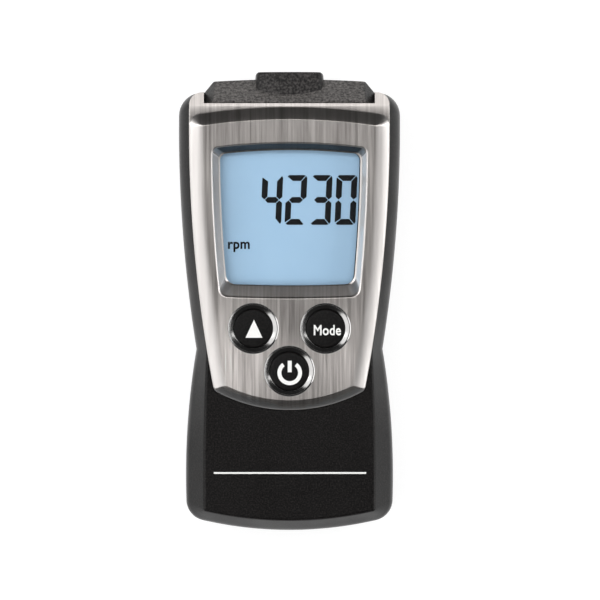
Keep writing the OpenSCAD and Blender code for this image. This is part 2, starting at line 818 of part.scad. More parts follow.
// Sensor head with its sloping front face, its nose and the lens seat
module sensor_head() {
    top_z = front_z - head_top_in;
    slope_z = top_z - head_slope_h;
    slope_l = head_end_y - notch_y;
    corner_turn = -atan2(head_corner_l, head_corner_w);
    corner_at = [head_half, head_end_y - head_bow - head_corner_l];
    slope_tilt = atan2(head_slope_h, -slope_l) - 90;
    corner_tilt = atan2(head_slope_h * head_corner_rise, -slope_l) - 90;
    back_bevel = head_corner_l / 2;
    core_half = tube_d / 2 + wall / 2;
    color("#2f2d2b") difference() {
        union() {
            difference() {
                translate([0, 0, head_low_h]) linear_extrude(top_z - head_low_h) polygon(head_plan());
                head_bevel([0, head_end_y], 0, slope_z, slope_tilt);
                both_sides() head_bevel(corner_at, corner_turn, slope_z, corner_tilt);
                head_bevel([0, head_end_y], 0, head_low_h + back_bevel, -135);
            }
            mid_block(head_half + head_flange_w / 2, head_flange_y, notch_y + slide_gap,
                head_low_h + wall, ceiling_z - slide_gap);
            translate([0, notch_y, nose_z]) rotate([-90, 0, 0]) loft([
                level(nose_outline(0), 0),
                level(nose_outline(nose_draft), nose_y - notch_y - soft_edge_w),
                level(nose_outline(nose_draft + soft_edge_w), nose_y - notch_y)
            ]);
        }
        rod(0, nose_z, lens_d / 2 + fit_gap, seat_y, nose_y + over);
        rod(0, nose_z, lens_d / 2 - wall / 2, head_flange_y - over, nose_y);
        rod(0, nose_z, tube_d / 2 + fit_gap, head_flange_y - over, tube_end_y);
        both_sides() block([core_half + wall, head_flange_y - over, head_low_h + 2 * wall],
            [head_half - wall, head_end_y - 2 * wall - back_bevel, slope_z - wall / 2]);
    }
}

// Plano-convex lens in the nose
module head_lens() {
    r = lens_d / 2;
    ball_r = (r * r + lens_sag * lens_sag) / (2 * lens_sag);
    color("#9fb4bd", 0.6) translate([0, seat_y, nose_z]) rotate([-90, 0, 0]) intersection() {
        cylinder(r = r, h = lens_edge_t + lens_sag);
        translate([0, 0, lens_edge_t + lens_sag - ball_r]) sphere(r = ball_r, $fn = 128);
    }
}

// Tube that aims emitter and receiver at the lens
module optic_tube() {
    color("#1d1c1b") difference() {
        rod(0, nose_z, tube_d / 2, tube_y, tube_end_y - slide_gap);
        for (x = [-diode_pitch / 2, diode_pitch / 2]) {
            rod(x, nose_z, diode_d / 2 + fit_gap, tube_y - over, tube_end_y + over);
            rod(x, nose_z, diode_flange_d / 2 + fit_gap, tube_y - over, tube_y + diode_flange_t + fit_gap);
        }
    }
}

// Moulded diode with a domed tip, a flange and two leads, lying towards the nose
module diode(x) {
    tip = diode_d / 2;
    translate([x, tube_y, nose_z]) rotate([-90, 0, 0]) {
        cylinder(d = diode_flange_d, h = diode_flange_t);
        cylinder(r = tip, h = diode_flange_t + diode_l - tip);
        translate([0, 0, diode_flange_t + diode_l - tip]) sphere(r = tip);
        for (side = [-1, 1]) translate([side * lead_pitch / 2, 0, -sensor_board_t - lead_d])
            cylinder(d = lead_d, h = sensor_board_t + lead_d + diode_flange_t / 2);
    }
}

// Diode that sends the light beam
module light_emitter() {
    color("#c8402e") diode(-diode_pitch / 2);
}

// Diode that takes up the reflected beam
module light_receiver() {
    color("#3a4a5c") diode(diode_pitch / 2);
}

// Height and width of the row of pins between the boards
link_h = link_pitch;
link_l = link_pitch * 1.3;
function link_x(i) = (i - (link_pins - 1) / 2) * link_pitch;

// Small upright board behind the tube
module sensor_board() {
    top_z = nose_z + sensor_board_h / 2;
    color("#2f6b3c") difference() {
        mid_block(sensor_board_w / 2, sensor_board_y, tube_y, nose_z - sensor_board_h / 2, top_z);
        for (x = [-diode_pitch / 2, diode_pitch / 2], side = [-1, 1])
            rod(x + side * lead_pitch / 2, nose_z, lead_d / 2 + fit_gap,
                sensor_board_y - over, tube_y + over);
        for (i = [0:link_pins - 1]) link_hole(link_x(i));
    }
}

// Hole for one pin in the small board
module link_hole(x) {
    half = link_pin_w / 2 + fit_gap;
    z = board_z - link_h / 2;
    block([x - half, sensor_board_y - over, z - half], [x + half, tube_y + over, z + half]);
}

// Row of pins between the small board and the main board
module board_link() {
    half = link_pin_w / 2;
    z = board_z - link_h / 2;
    foot_y = board_end_y - link_l;
    pin_y = foot_y + link_l / 3;
    color("#1b1b1b")
        mid_block(link_pins * link_pitch / 2, foot_y, sensor_board_y, z - link_h / 2, board_z);
    color("#c9b26a") for (i = [0:link_pins - 1]) {
        x = link_x(i);
        block([x - half, foot_y + half, z - half], [x + half, tube_y - fit_gap, z + half]);
        block([x - half, pin_y - half, z - half], [x + half, pin_y + half, board_top_z]);
    }
}

// Clear pane in its ledge under the plate
module display_pane() {
    outline = recess_outline(funnel_side_w - pane_ledge, funnel_low_w - pane_ledge, funnel_top_w - pane_ledge);
    color("#c6d2d8", 0.4) translate([0, 0, seat_z - pane_t]) linear_extrude(pane_t) polygon(outline);
}

// Places of the glass
glass_low_y = recess_low_y - glass_over + funnel_low_w / 2;
glass_end_y = recess_top_y + glass_over + funnel_top_w / 4;

// Foam seal between the shell and the glass
module display_seal() {
    window = recess_outline(funnel_side_w - seal_w / 8, funnel_low_w - seal_w / 8, funnel_top_w - seal_w / 8);
    rim = recess_outline(funnel_side_w - seal_w, funnel_low_w - seal_w, funnel_top_w - seal_w);
    color("#191919") outline_ring(rim, window, glass_top_z, ceiling_z);
}

// Display glass
module display_glass() {
    color("#9dbdd8") mid_block(glass_half, glass_low_y, glass_end_y, glass_z, glass_top_z);
}

// Edges of the light guide between the two contact strips
strip_gap = strip_contact_w / 3;
light_low_y = glass_low_y + strip_contact_w + 2 * strip_gap;
light_end_y = glass_end_y - strip_contact_w - 2 * strip_gap;

// Light guide under the glass
module backlight() {
    color("#e8eef2") mid_block(glass_half - frame_t / 2, light_low_y, light_end_y, board_top_z, glass_z);
}

// Frame that keeps glass and light guide on the board
module display_frame() {
    color("#f1f1ee") difference() {
        mid_block(glass_half + frame_t, glass_low_y - frame_t, glass_end_y + frame_t,
            board_top_z, glass_top_z);
        mid_block(glass_half + fit_gap, glass_low_y - fit_gap, glass_end_y + fit_gap,
            board_top_z - over, glass_top_z + over);
    }
}

// Rubber contact strips at both ends of the glass
module contact_strips() {
    half = glass_half - wall;
    color("#c9a4a8") {
        mid_block(half, glass_low_y + strip_gap, glass_low_y + strip_gap + strip_contact_w,
            board_top_z, glass_z);
        mid_block(half, glass_end_y - strip_gap - strip_contact_w, glass_end_y - strip_gap,
            board_top_z, glass_z);
    }
}

// Main board, shaped to the housing
module main_board() {
    inset = wall + flank_draft + board_edge_gap;
    pin_half = link_pin_w / 2 + fit_gap;
    pin_y = board_end_y - link_l * 2 / 3;
    color("#2f6b3c") difference() {
        translate([0, 0, board_z]) linear_extrude(board_t) intersection() {
            polygon(even_outline(inset));
            translate([-body_w, board_low_y]) square([2 * body_w, board_end_y - board_low_y]);
        }
        both_sides() for (at = board_screw_at)
            post(at, small_screw_d / 2 + fit_gap, board_z - over, board_top_z + over);
        for (x = [-cell_x, cell_x]) tab_slot(x, board_z - over, board_top_z + over);
        for (i = [0:link_pins - 1]) block([link_x(i) - pin_half, pin_y - pin_half, board_z - over],
            [link_x(i) + pin_half, pin_y + pin_half, board_top_z + over]);
    }
}

// Processor under the main board
module processor() {
    y = (recess_top_y + recess_low_y) / 2;
    color("#1a1a1a") mid_block(chip_w / 2, y - chip_w / 2, y + chip_w / 2, board_z - chip_t, board_z);
}

// Crystal that times the measurement, lying under the main board
module crystal() {
    y = (recess_top_y + recess_low_y) / 2 + chip_w / 2 + crystal_d;
    color("#b7b7b2") {
        translate([-crystal_l / 2, y, board_z - crystal_d / 2]) rotate([0, 90, 0])
            cylinder(d = crystal_d, h = crystal_l);
    }
}

// Polished ring: rim on the plateau, dished inside, barrel through plate and shell
module key_ring(at) {
    guide_r = cap_d / 2 + slide_gap;
    rim_r = ring_d / 2;
    dish_r = rim_r - rim_w;
    dish_steps = 6;
    dish = [for (k = [0:dish_steps])
        let (a = 90 * k / dish_steps)
        [guide_r + (dish_r - guide_r) * sin(a), body_d - dish_h * cos(a)]];
    profile = concat(dish, [[rim_r, body_d - rim_w], [rim_r, plateau_z], [barrel_r, plateau_z],
        [barrel_r, ceiling_z], [guide_r, ceiling_z]]);
    color("#4a4a4c") translate([at[0], at[1], 0]) rotate_extrude() polygon(profile);
}

// Key cap with a softened edge and the flange that keeps it in its ring
module key_cap(at) {
    r = cap_d / 2;
    soft = soft_edge_w;
    profile = [
        [0, key_flange_z], [r + key_flange_w, key_flange_z], [r + key_flange_w, key_flange_z + key_flange_t],
        [r, key_flange_z + key_flange_t], [r, cap_top_z - soft], [r - soft, cap_top_z], [0, cap_top_z]
    ];
    color("#161515") translate([at[0], at[1], 0]) rotate_extrude() polygon(profile);
}

// Plunger of a switch, between the switch and its key
module plunger(at) {
    color("#e9e6df") post(at, plunger_d / 2, board_top_z + switch_h / 2, key_flange_z);
}

module key_ring_up() { key_ring(key_at[0]); }
module key_ring_mode() { key_ring(key_at[1]); }
module key_ring_power() { key_ring(key_at[2]); }
module key_up() { key_cap(key_at[0]); }
module key_mode() { key_cap(key_at[1]); }
module key_power() { key_cap(key_at[2]); }
module plunger_up() { plunger(key_at[0]); }
module plunger_mode() { plunger(key_at[1]); }
module plunger_power() { plunger(key_at[2]); }

// The three switches on the main board
module switch_bodies() {
    half = switch_w / 2;
    floor_z = board_top_z + (switch_h / 2 - key_travel) / 2;
    color("#3b3b3b") for (at = key_at) difference() {
        block([at[0] - half, at[1] - half, board_top_z], [at[0] + half, at[1] + half, switch_top_z]);
        post(at, plunger_d / 2 + slide_gap, floor_z, switch_top_z + over);
    }
}

// Round cell lying along the grip, with its pip towards the nose or the bottom end
module cell(x, y, pip_up) {
    translate([x, y, cell_z]) rotate([-90, 0, 0]) {
        translate([0, 0, pip_up ? 0 : pip_l]) cylinder(d = cell_d, h = cell_l - pip_l);
        cylinder(d = pip_d, h = cell_l);
    }
}

// Where the left cell starts, above its spring
left_cell_y = bay_low_y + contact_t + spring_h;
// Where the right cell starts, on its contact plate
right_cell_y = bay_low_y + contact_t;

module cell_left() {
    color("#8a8f96") cell(-cell_x, left_cell_y, true);
}

module cell_right() {
    color("#8a8f96") cell(cell_x, right_cell_y, false);
}

// Conical spring: one tube swept along a helix that narrows towards the cell
module cone_spring(x, y, way) {
    sides = 6;
    turn_steps = 10;
    rings = spring_turns * turn_steps;
    wire_r = spring_wire_d / 2;
    wide_r = spring_wide_d / 2 - wire_r;
    narrow_r = spring_narrow_d / 2 - wire_r;
    rise = spring_h - spring_wire_d - fit_gap;
    points = [
        for (k = [0:rings])
            let (
                s = k / rings,
                turn = 360 * k / turn_steps,
                r = wide_r + (narrow_r - wide_r) * s,
                h = wire_r + fit_gap / 2 + rise * s
            )
            for (j = [0:sides - 1])
                let (
                    a = 360 * (j + 0.5) / sides,
                    rr = r + wire_r * cos(a)
                )
                [rr * cos(turn), rr * sin(turn), h + wire_r * sin(a)]
    ];
    caps = [[for (j = [0:sides - 1]) j], [for (j = [sides - 1:-1:0]) rings * sides + j]];
    skin = [
        for (k = [0:rings - 1], j = [0:sides - 1])
            let (
                a = k * sides + j,
                b = k * sides + (j + 1) % sides
            )
            each [[a, a + sides, b + sides], [a, b + sides, b]]
    ];
    translate([x, y, cell_z]) rotate([way > 0 ? -90 : 90, 0, 0])
        polyhedron(points = points, faces = concat(caps, skin));
}

// The two springs, one at each end of the bay
module contact_springs() {
    color("#c4c7c9") {
        cone_spring(-cell_x, bay_low_y + contact_t, 1);
        cone_spring(cell_x, bay_end_y - contact_t, -1);
    }
}

// The bridge at the bottom end and the two plates with tabs at the other
module contact_plates() {
    half = contact_w / 2;
    color("#c4c7c9") {
        block([-cell_x - half, bay_low_y, cell_z - half],
            [cell_x + half, bay_low_y + contact_t, cell_z + half]);
        for (x = [-cell_x, cell_x]) {
            block([x - half, bay_end_y - contact_t, cell_z - half], [x + half, bay_end_y, cell_z + half]);
            block([x - tab_w / 2, bay_end_y - contact_t, cell_z], [x + tab_w / 2, bay_end_y, board_top_z]);
        }
    }
}

// Sliding battery cover with side tongues and thumb grooves
module battery_cover() {
    groove_y = end_y + back_round_h + wall;
    color("#262423") difference() {
        intersection() {
            rear_outside();
            union() {
                mid_block(cover_half, end_y, cover_end_y, -over, cover_t);
                mid_block(cover_half + tongue_w, end_y, cover_end_y, cover_lip_t, cover_t);
            }
        }
        for (k = [0:thumb_grooves - 1])
            translate([-thumb_groove_w / 2, groove_y + 2 * k * thumb_groove_d, 0]) rotate([0, 90, 0])
                cylinder(d = thumb_groove_d, h = thumb_groove_w);
    }
}

// The four screws that hold the shells together
module shell_screws() {
    color("#8d8f92") both_sides() for (at = shell_screw_at) {
        post(at, screw_head_d / 2, screw_sink - screw_head_h, screw_sink);
        post(at, screw_d / 2 - fit_gap, screw_sink - screw_head_h / 2, ceiling_z - 2 * over);
    }
}

// The four screws that hold the board on the front shell
module board_screws() {
    color("#8d8f92") both_sides() for (at = board_screw_at) {
        post(at, small_head_d / 2, board_z - small_head_h, board_z);
        post(at, small_screw_d / 2 - fit_gap, board_z - small_head_h / 2, ceiling_z - 2 * over);
    }
}

rear_shell();
front_shell();
face_plate();
sensor_head();
head_lens();
optic_tube();
light_emitter();
light_receiver();
sensor_board();
board_link();
display_pane();
display_seal();
display_glass();
backlight();
display_frame();
contact_strips();
main_board();
processor();
crystal();
key_ring_up();
key_ring_mode();
key_ring_power();
key_up();
key_mode();
key_power();
switch_bodies();
plunger_up();
plunger_mode();
plunger_power();
cell_left();
cell_right();
contact_springs();
contact_plates();
battery_cover();
shell_screws();
board_screws();
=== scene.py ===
import logging
import math
from dataclasses import dataclass, replace
from enum import Enum
from functools import cache
from typing import Callable, Sequence

import bmesh
import bpy
from mathutils import Matrix, Vector


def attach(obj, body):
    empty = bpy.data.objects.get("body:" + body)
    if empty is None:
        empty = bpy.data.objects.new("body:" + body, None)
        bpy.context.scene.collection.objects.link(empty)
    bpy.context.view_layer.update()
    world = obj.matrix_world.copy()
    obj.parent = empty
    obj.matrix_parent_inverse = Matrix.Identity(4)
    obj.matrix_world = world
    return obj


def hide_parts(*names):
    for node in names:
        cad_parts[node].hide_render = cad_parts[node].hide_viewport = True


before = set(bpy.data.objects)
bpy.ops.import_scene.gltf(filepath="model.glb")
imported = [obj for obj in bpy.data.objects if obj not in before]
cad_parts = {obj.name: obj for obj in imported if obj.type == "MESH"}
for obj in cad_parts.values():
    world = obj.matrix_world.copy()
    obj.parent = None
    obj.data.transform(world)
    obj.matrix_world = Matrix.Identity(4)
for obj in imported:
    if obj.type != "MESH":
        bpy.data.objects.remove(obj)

LOG = logging.getLogger("tachometer")
MM = 0.001
Point = tuple[float, float]
Spot = tuple[float, float, float]
Ring = Sequence[Spot]
Colour = tuple[float, float, float]
Piece = bpy.types.Object
Socket = bpy.types.NodeSocket
Material = bpy.types.Material


# Outlines, in millimetres


@dataclass(frozen=True)
class Circle:
    """One circle that an outline follows."""

    x: float
    y: float
    r: float

    def at(self, angle: float) -> Point:
        """Gives the point of the circle in a direction in degrees."""
        turn = math.radians(angle)
        return self.x + self.r * math.cos(turn), self.y + self.r * math.sin(turn)

    def bearing(self, spot: Point) -> float:
        """Gives the direction of a point from the centre, in degrees."""
        return math.degrees(math.atan2(spot[1] - self.y, spot[0] - self.x))

    def less(self, r: float) -> "Circle":
        """Gives the same circle with a smaller radius."""
        return replace(self, r=self.r - r)


def meet(a: Circle, b: Circle) -> Point:
    """Finds where two circles meet, on the left of the way from the first to the second.

    Args:
        a: First circle.
        b: Second circle.

    Returns:
        The point in the plane.
    """
    dx, dy = b.x - a.x, b.y - a.y
    far = math.hypot(dx, dy)
    along = (a.r**2 - b.r**2 + far**2) / (2 * far)
    off = math.sqrt(max(0.0, a.r**2 - along**2))
    return a.x + (along * dx - off * dy) / far, a.y + (along * dy + off * dx) / far


def bow(wide: float, wide_y: float, narrow: float, narrow_y: float) -> Circle:
    """Finds the circle that is widest at one height and passes a narrower place.

    Args:
        wide: Half width at the widest place.
        wide_y: Height of the widest place.
        narrow: Half width at the narrower place.
        narrow_y: Height of the narrower place.

    Returns:
        The circle.
    """
    dx, dy = wide - narrow, wide_y - narrow_y
    r = (dx * dx + dy * dy) / (2 * dx)
    return Circle(wide - r, wide_y, r)


def side_through(low: Point, high: Point, r: float) -> Circle:
    """Finds the circle of a radius through two places of the right side.

    Args:
        low: Lower place.
        high: Upper place.
        r: Radius of the circle.

    Returns:
        The circle.
    """
    x, y = meet(Circle(*low, r), Circle(*high, r))
    return Circle(x, y, r)


def outline(
    curves: Sequence[Circle], rounds: Sequence[float], steps: Sequence[int], turns: int = 10
) -> list[Point]:
    """Walks round an outline that mirrors about x = 0.

    Args:
        curves: Circles of the right half, from the bottom to the top.
        rounds: Radius of the corner between each two circles, 0 for a crease.
        steps: Steps along each circle.
        turns: Steps round each corner.

    Returns:
        The points of the whole outline, starting near the bottom middle.
    """
    joints = [
        meet(a.less(r), b.less(r)) if r > 0 else meet(b, a) for a, b, r in zip(curves, curves[1:], rounds)
    ]
    last = len(curves) - 1
    half: list[Point] = []
    for i, curve in enumerate(curves):
        start = -90.0 if i == 0 else curve.bearing(joints[i - 1])
        end = 90.0 if i == last else curve.bearing(joints[i])
        lead = 0.5 if i == 0 else 0.0
        tail = 0.5 if i == last else 0.0
        first = 1 if i > 0 and rounds[i - 1] == 0 else 0
        span = steps[i] + lead + tail
        half += [curve.at(start + (end - start) * (k + lead) / span) for k in range(first, steps[i] + 1)]
        if i < last and rounds[i] > 0:
            corner = Circle(*joints[i], rounds[i])
            stop = curves[i + 1].bearing(joints[i])
            half += [corner.at(end + (stop - end) * k / turns) for k in range(1, turns)]
    return half + [(-x, y) for x, y in reversed(half)]


def shrunk(r: float, inset: float) -> float:
    """Gives a corner radius after an inset."""
    return max(r / 8, r - inset)


@dataclass(frozen=True)
class Plan:
    """Outlines of the meter and the sizes that its pieces share, as in the solids."""

    end_y: float = -47.5
    nose_y: float = 47.5
    waist_y: float = -9.8
    grip_wide_y: float = -36.0
    head_wide_y: float = 36.0
    top_y: float = 44.2
    end_bow_r: float = 80.0
    top_bow_r: float = 240.0
    body_half: float = 23.0
    grip_half: float = 21.55
    waist_half: float = 19.35
    end_corner_r: float = 4.4
    shoulder_r: float = 4.8
    plate_in: float = 2.3
    plate_low_y: float = -22.4
    plate_low_r: float = 31.5
    plate_corner_r: float = 1.7
    raised_top_y: float = 40.25
    plateau_bow_r: float = 125.0
    recess_half: float = 16.0
    recess_taper: float = 1.7
    recess_top_y: float = 32.7
    recess_low_y: float = 0.8
    recess_bow_r: float = 290.0
    recess_top_r: float = 1.4
    recess_low_r: float = 2.0
    nose_half_w: float = 7.55
    nose_half_d: float = 9.65
    nose_crown_r: float = 21.0
    nose_corner_r: float = 1.1
    part_z: float = 12.5
    seam: float = 0.12
    wall: float = 1.8
    draft: float = 0.3
    ceiling_z: float = 20.6
    seat_z: float = 22.4
    front_z: float = 23.4
    plateau_z: float = 24.75
    notch_half: float = 17.65
    notch_y: float = 40.95
    notch_z: float = 2.45
    window_shift: float = 0.18
    guide_r: float = 5.05
    past_y: float = -49.0
    screws: tuple[Point, ...] = ((18.1, 36.4), (16.5, -36.8))
    keys: tuple[Point, ...] = ((-7.45, -5.5), (7.45, -5.5), (0.0, -14.3))

    def body(self, head: float, waist: float, grip: float, end: float, top: float) -> list[Point]:
        """Gives the outline of the housing.

        Args:
            head: Inset beside the display.
            waist: Inset at the waist.
            grip: Inset beside the grip.
            end: Inset at the bottom end.
            top: Inset at the top end.

        Returns:
            The points of the outline.
        """
        return outline(
            [
                Circle(0, self.end_y + self.end_bow_r, self.end_bow_r - end),
                bow(self.grip_half - grip, self.grip_wide_y, self.waist_half - waist, self.waist_y),
                bow(self.body_half - head, self.head_wide_y, self.waist_half - waist, self.waist_y),
                Circle(0, self.top_y - self.top_bow_r, self.top_bow_r - top),
            ],
            [shrunk(self.end_corner_r, grip), 0, shrunk(self.shoulder_r, head)],
            [12, 20, 30, 10],
        )

    def even(self, inset: float) -> list[Point]:
        """Gives the outline of the housing with the same inset all round."""
        return self.body(inset, inset, inset, inset, inset)

    def plate(self, side: float, low: float, top: float, top_edge_y: float, top_r: float) -> list[Point]:
        """Gives the outline of the face plate.

        Args:
            side: Inset of the sides.
            low: Inset of the bottom edge.
            top: Inset of the top edge.
            top_edge_y: Height of the top edge.
            top_r: Radius of the top edge.

        Returns:
            The points of the outline.
        """
        inner = self.plate_in + side
        return outline(
            [
                Circle(0, self.plate_low_y + self.plate_low_r, self.plate_low_r - low),
                bow(self.body_half - inner, self.head_wide_y, self.waist_half - inner, self.waist_y),
                Circle(0, top_edge_y - top_r, top_r - top),
            ],
            [shrunk(self.plate_corner_r, low), shrunk(self.shoulder_r - self.plate_in, side)],
            [16, 26, 14],
            8,
        )

    def raised(self, side: float, low: float, top: float) -> list[Point]:
        """Gives the outline of the raised part of the face plate."""
        return self.plate(side, low, top, self.raised_top_y, self.plateau_bow_r)

    def recess(self, side: float, low: float, top: float) -> list[Point]:
        """Gives the outline of the window recess.

        Args:
            side: Inset of the sides.
            low: Inset of the bottom edge.
            top: Inset of the top edge.

        Returns:
            The points of the outline.
        """
        foot = (self.recess_half - self.recess_taper - side, self.recess_low_y)
        head = (self.recess_half - side, self.recess_top_y)
        return outline(
            [
                Circle(0, self.recess_low_y + low + self.recess_bow_r, self.recess_bow_r),
                side_through(foot, head, self.recess_bow_r),
                Circle(0, self.recess_top_y - top - self.plateau_bow_r, self.plateau_bow_r),
            ],
            [self.recess_low_r, self.recess_top_r],
            [8, 14, 10],
            8,
        )

    def nose(self, inset: float) -> list[Point]:
        """Gives the cross-section of the nose.

        Args:
            inset: Inset all round.

        Returns:
            The points of the outline.
        """
        half_w, half_d = self.nose_half_w - inset, self.nose_half_d - inset
        side_r = self.nose_crown_r * 4
        return outline(
            [
                Circle(0, self.nose_crown_r - half_d, self.nose_crown_r),
                Circle(half_w - side_r, 0, side_r),
                Circle(0, half_d - self.nose_crown_r, self.nose_crown_r),
            ],
            [self.nose_corner_r, self.nose_corner_r],
            [10, 8, 10],
        )


PLAN = Plan()


# Steps on the bench, each made with Blender's own operators


def level(points: Sequence[Point], z: float) -> Ring:
    """Lifts an outline to a height."""
    return [(x, y, z) for x, y in points]


def aside(points: Sequence[Point], way: float) -> list[Point]:
    """Moves an outline sideways."""
    return [(x + way, y) for x, y in points]


def circle(at: Point, r: float, sides: int) -> list[Point]:
    """Walks round a circle, one point for each side."""
    turns = [2 * math.pi * k / sides for k in range(sides)]
    return [(at[0] + r * math.cos(a), at[1] + r * math.sin(a)) for a in turns]


def rectangle(left: float, right: float, low: float, high: float) -> list[Point]:
    """Walks round a rectangle."""
    return [(left, low), (right, low), (right, high), (left, high)]


def quarter(steps: int, first: int = 0) -> list[Point]:
    """Gives sine and cosine at even steps of a quarter turn."""
    turns = [math.radians(90 * k / steps) for k in range(first, steps + 1)]
    return [(math.sin(a), math.cos(a)) for a in turns]


def mirrored(places: Sequence[Point]) -> list[Point]:
    """Gives each place on the left and on the right."""
    return [(side * x, y) for x, y in places for side in (-1, 1)]


def pick(piece: Piece, test: Callable[[bmesh.types.BMVert], bool]) -> None:
    """Selects the points of a piece in edit mode that pass a test.

    Args:
        piece: The piece.
        test: Says whether a point is selected.
    """
    mesh = bmesh.from_edit_mesh(piece.data)
    for part in (*mesh.faces, *mesh.edges):
        part.select = False
    for vert in mesh.verts:
        vert.select = test(vert)
    mesh.select_flush(True)
    bmesh.update_edit_mesh(piece.data)


def lay(piece: Piece, ring: Ring, row: int) -> None:
    """Lays the selected loop of points on a ring.

    Args:
        piece: The piece, in edit mode.
        ring: Places in millimetres, one for each point of the loop.
        row: Number of the ring, kept with its points.
    """
    mesh = bmesh.from_edit_mesh(piece.data)
    mark, rows = mesh.verts.layers.int["mark"], mesh.verts.layers.int["row"]
    for vert in mesh.verts:
        if vert.select:
            vert.co = Vector(ring[vert[mark]]) * MM
            vert[rows] = row
    bmesh.update_edit_mesh(piece.data)


def named(name: str) -> Piece:
    """Names the active piece and its mesh.

    Args:
        name: The name.

    Returns:
        The piece.
    """
    piece = bpy.context.object
    piece.name = piece.data.name = name
    return piece


def start_ring(name: str, ring: Ring) -> Piece:
    """Adds a circle, lays it on the first ring of a piece and stays in edit mode.

    Args:
        name: Name of the new piece.
        ring: Places in millimetres.

    Returns:
        The new piece.
    """
    bpy.ops.object.select_all(action="DESELECT")
    bpy.ops.mesh.primitive_circle_add(vertices=len(ring), radius=MM, fill_type="NOTHING")
    piece = named(name)
    bpy.ops.object.mode_set(mode="EDIT")
    bpy.ops.mesh.select_mode(type="VERT")
    mesh = bmesh.from_edit_mesh(piece.data)
    mark = mesh.verts.layers.int.new("mark")
    mesh.verts.layers.int.new("row")
    for i, vert in enumerate(mesh.verts):
        vert[mark] = i
    bmesh.update_edit_mesh(piece.data)
    bpy.ops.mesh.select_all(action="SELECT")
    lay(piece, ring, 0)
    return piece


def face_out() -> None:
    """Turns all faces of the piece in edit mode outwards and returns to object mode."""
    bpy.ops.mesh.select_all(action="SELECT")
    bpy.ops.mesh.normals_make_consistent(inside=False)
    bpy.ops.object.mode_set(mode="OBJECT")


def loft(name: str, rings: Sequence[Ring], closed: bool = True) -> Piece:
    """Extrudes a circle from ring to ring.

    Args:
        name: Name of the new piece.
        rings: Rings of places in millimetres, with as many places each.
        closed: Whether a face closes each end; otherwise the last ring joins the first.

    Returns:
        The new piece, in object mode.
    """
    piece = start_ring(name, rings[0])
    for row, ring in enumerate(rings[1:], 1):
        bpy.ops.mesh.extrude_edges_move()
        lay(piece, ring, row)
    rows = bmesh.from_edit_mesh(piece.data).verts.layers.int["row"]
    last = len(rings) - 1
    if closed:
        for end in (0, last):
            pick(piece, lambda vert: vert[rows] == end)
            bpy.ops.mesh.edge_face_add()
    else:
        pick(piece, lambda vert: vert[rows] in (0, last))
        bpy.ops.mesh.bridge_edge_loops()
    face_out()
    return piece


def prism(name: str, points: Sequence[Point], low: float, high: float) -> Piece:
    """Extrudes an outline from one height to another."""
    return loft(name, [level(points, low), level(points, high)])


def spun(
    name: str, profile: Sequence[Point], centre: Spot = (0, 0, 0), along: str = "Z", steps: int = 96
) -> Piece:
    """Spins a closed profile once round an axis.

    Args:
        name: Name of the new piece.
        profile: Pairs of radius and height along the axis, in millimetres.
        centre: Where the axis starts, in millimetres.
        along: The axis, "Z" or "Y".
        steps: Steps of the spin.

    Returns:
        The new piece, in object mode.
    """
    axis = Vector((0, 0, 1)) if along == "Z" else Vector((0, 1, 0))
    ring = [tuple(Vector(centre) + Vector((r, 0, 0)) + axis * h) for r, h in profile]
    piece = start_ring(name, ring)
    bpy.ops.mesh.select_all(action="SELECT")
    bpy.ops.mesh.spin(steps=steps, dupli=False, angle=2 * math.pi, center=Vector(centre) * MM, axis=axis)
    bpy.ops.mesh.select_all(action="SELECT")
    bpy.ops.mesh.remove_doubles(threshold=MM / 500)
    bpy.ops.mesh.dissolve_degenerate(threshold=MM / 1000)
    bpy.ops.mesh.select_all(action="DESELECT")
    bpy.ops.mesh.select_loose()
    bpy.ops.mesh.delete(type="EDGE")
    face_out()
    return piece


def block(name: str, low: Spot, high: Spot) -> Piece:
    """Adds a block.

    Args:
        name: Name of the new piece.
        low: Lowest corner in millimetres.
        high: Highest corner in millimetres.

    Returns:
        The new piece, in object mode.
    """
    bpy.ops.object.select_all(action="DESELECT")
    middle = [(a + b) / 2 * MM for a, b in zip(low, high)]
    size = [(b - a) * MM for a, b in zip(low, high)]
    bpy.ops.mesh.primitive_cube_add(size=1, location=middle, scale=size)
    bpy.ops.object.transform_apply(location=True, rotation=True, scale=True)
    return named(name)


def tower(name: str, at: Point, steps: Sequence[Point], sides: int = 48) -> Piece:
    """Lofts an upright round solid through steps of radius and height."""
    return loft(name, [level(circle(at, r, sides), z) for r, z in steps])


def post(name: str, at: Point, r: float, low: float, high: float, sides: int = 48) -> Piece:
    """Adds an upright cylinder."""
    return prism(name, circle(at, r, sides), low, high)


def rod(name: str, axis_z: float, r: float, low: float, high: float, sides: int = 64) -> Piece:
    """Adds a cylinder that runs towards the nose."""
    return loft(name, [[(x, y, z) for x, z in circle((0, axis_z), r, sides)] for y in (low, high)])


def use(piece: Piece) -> None:
    """Makes a piece the only selected and the active one.

    Args:
        piece: The piece.
    """
    bpy.ops.object.select_all(action="DESELECT")
    piece.select_set(True)
    bpy.context.view_layer.objects.active = piece


def apply(piece: Piece, kind: str, **settings: object) -> None:
    """Adds a modifier to a piece and applies it.

    Args:
        piece: The piece.
        kind: Type of the modifier.
        settings: Settings of the modifier by name.
    """
    use(piece)
    bpy.ops.object.modifier_add(type=kind)
    step = piece.modifiers[-1]
    for key, value in settings.items():
        setattr(step, key, value)
    bpy.ops.object.modifier_apply(modifier=step.name)


def combine(piece: Piece, way: str, *tools: Piece) -> Piece:
    """Cuts other pieces out of a piece, or adds them to it, and removes them.

    Args:
        piece: The piece that stays.
        way: "DIFFERENCE", "UNION" or "INTERSECT".
        tools: The pieces that are used up.

    Returns:
        The piece.
    """
    for tool in tools:
        apply(piece, "BOOLEAN", operation=way, solver="EXACT", object=tool)
        bpy.data.objects.remove(tool)
    return piece


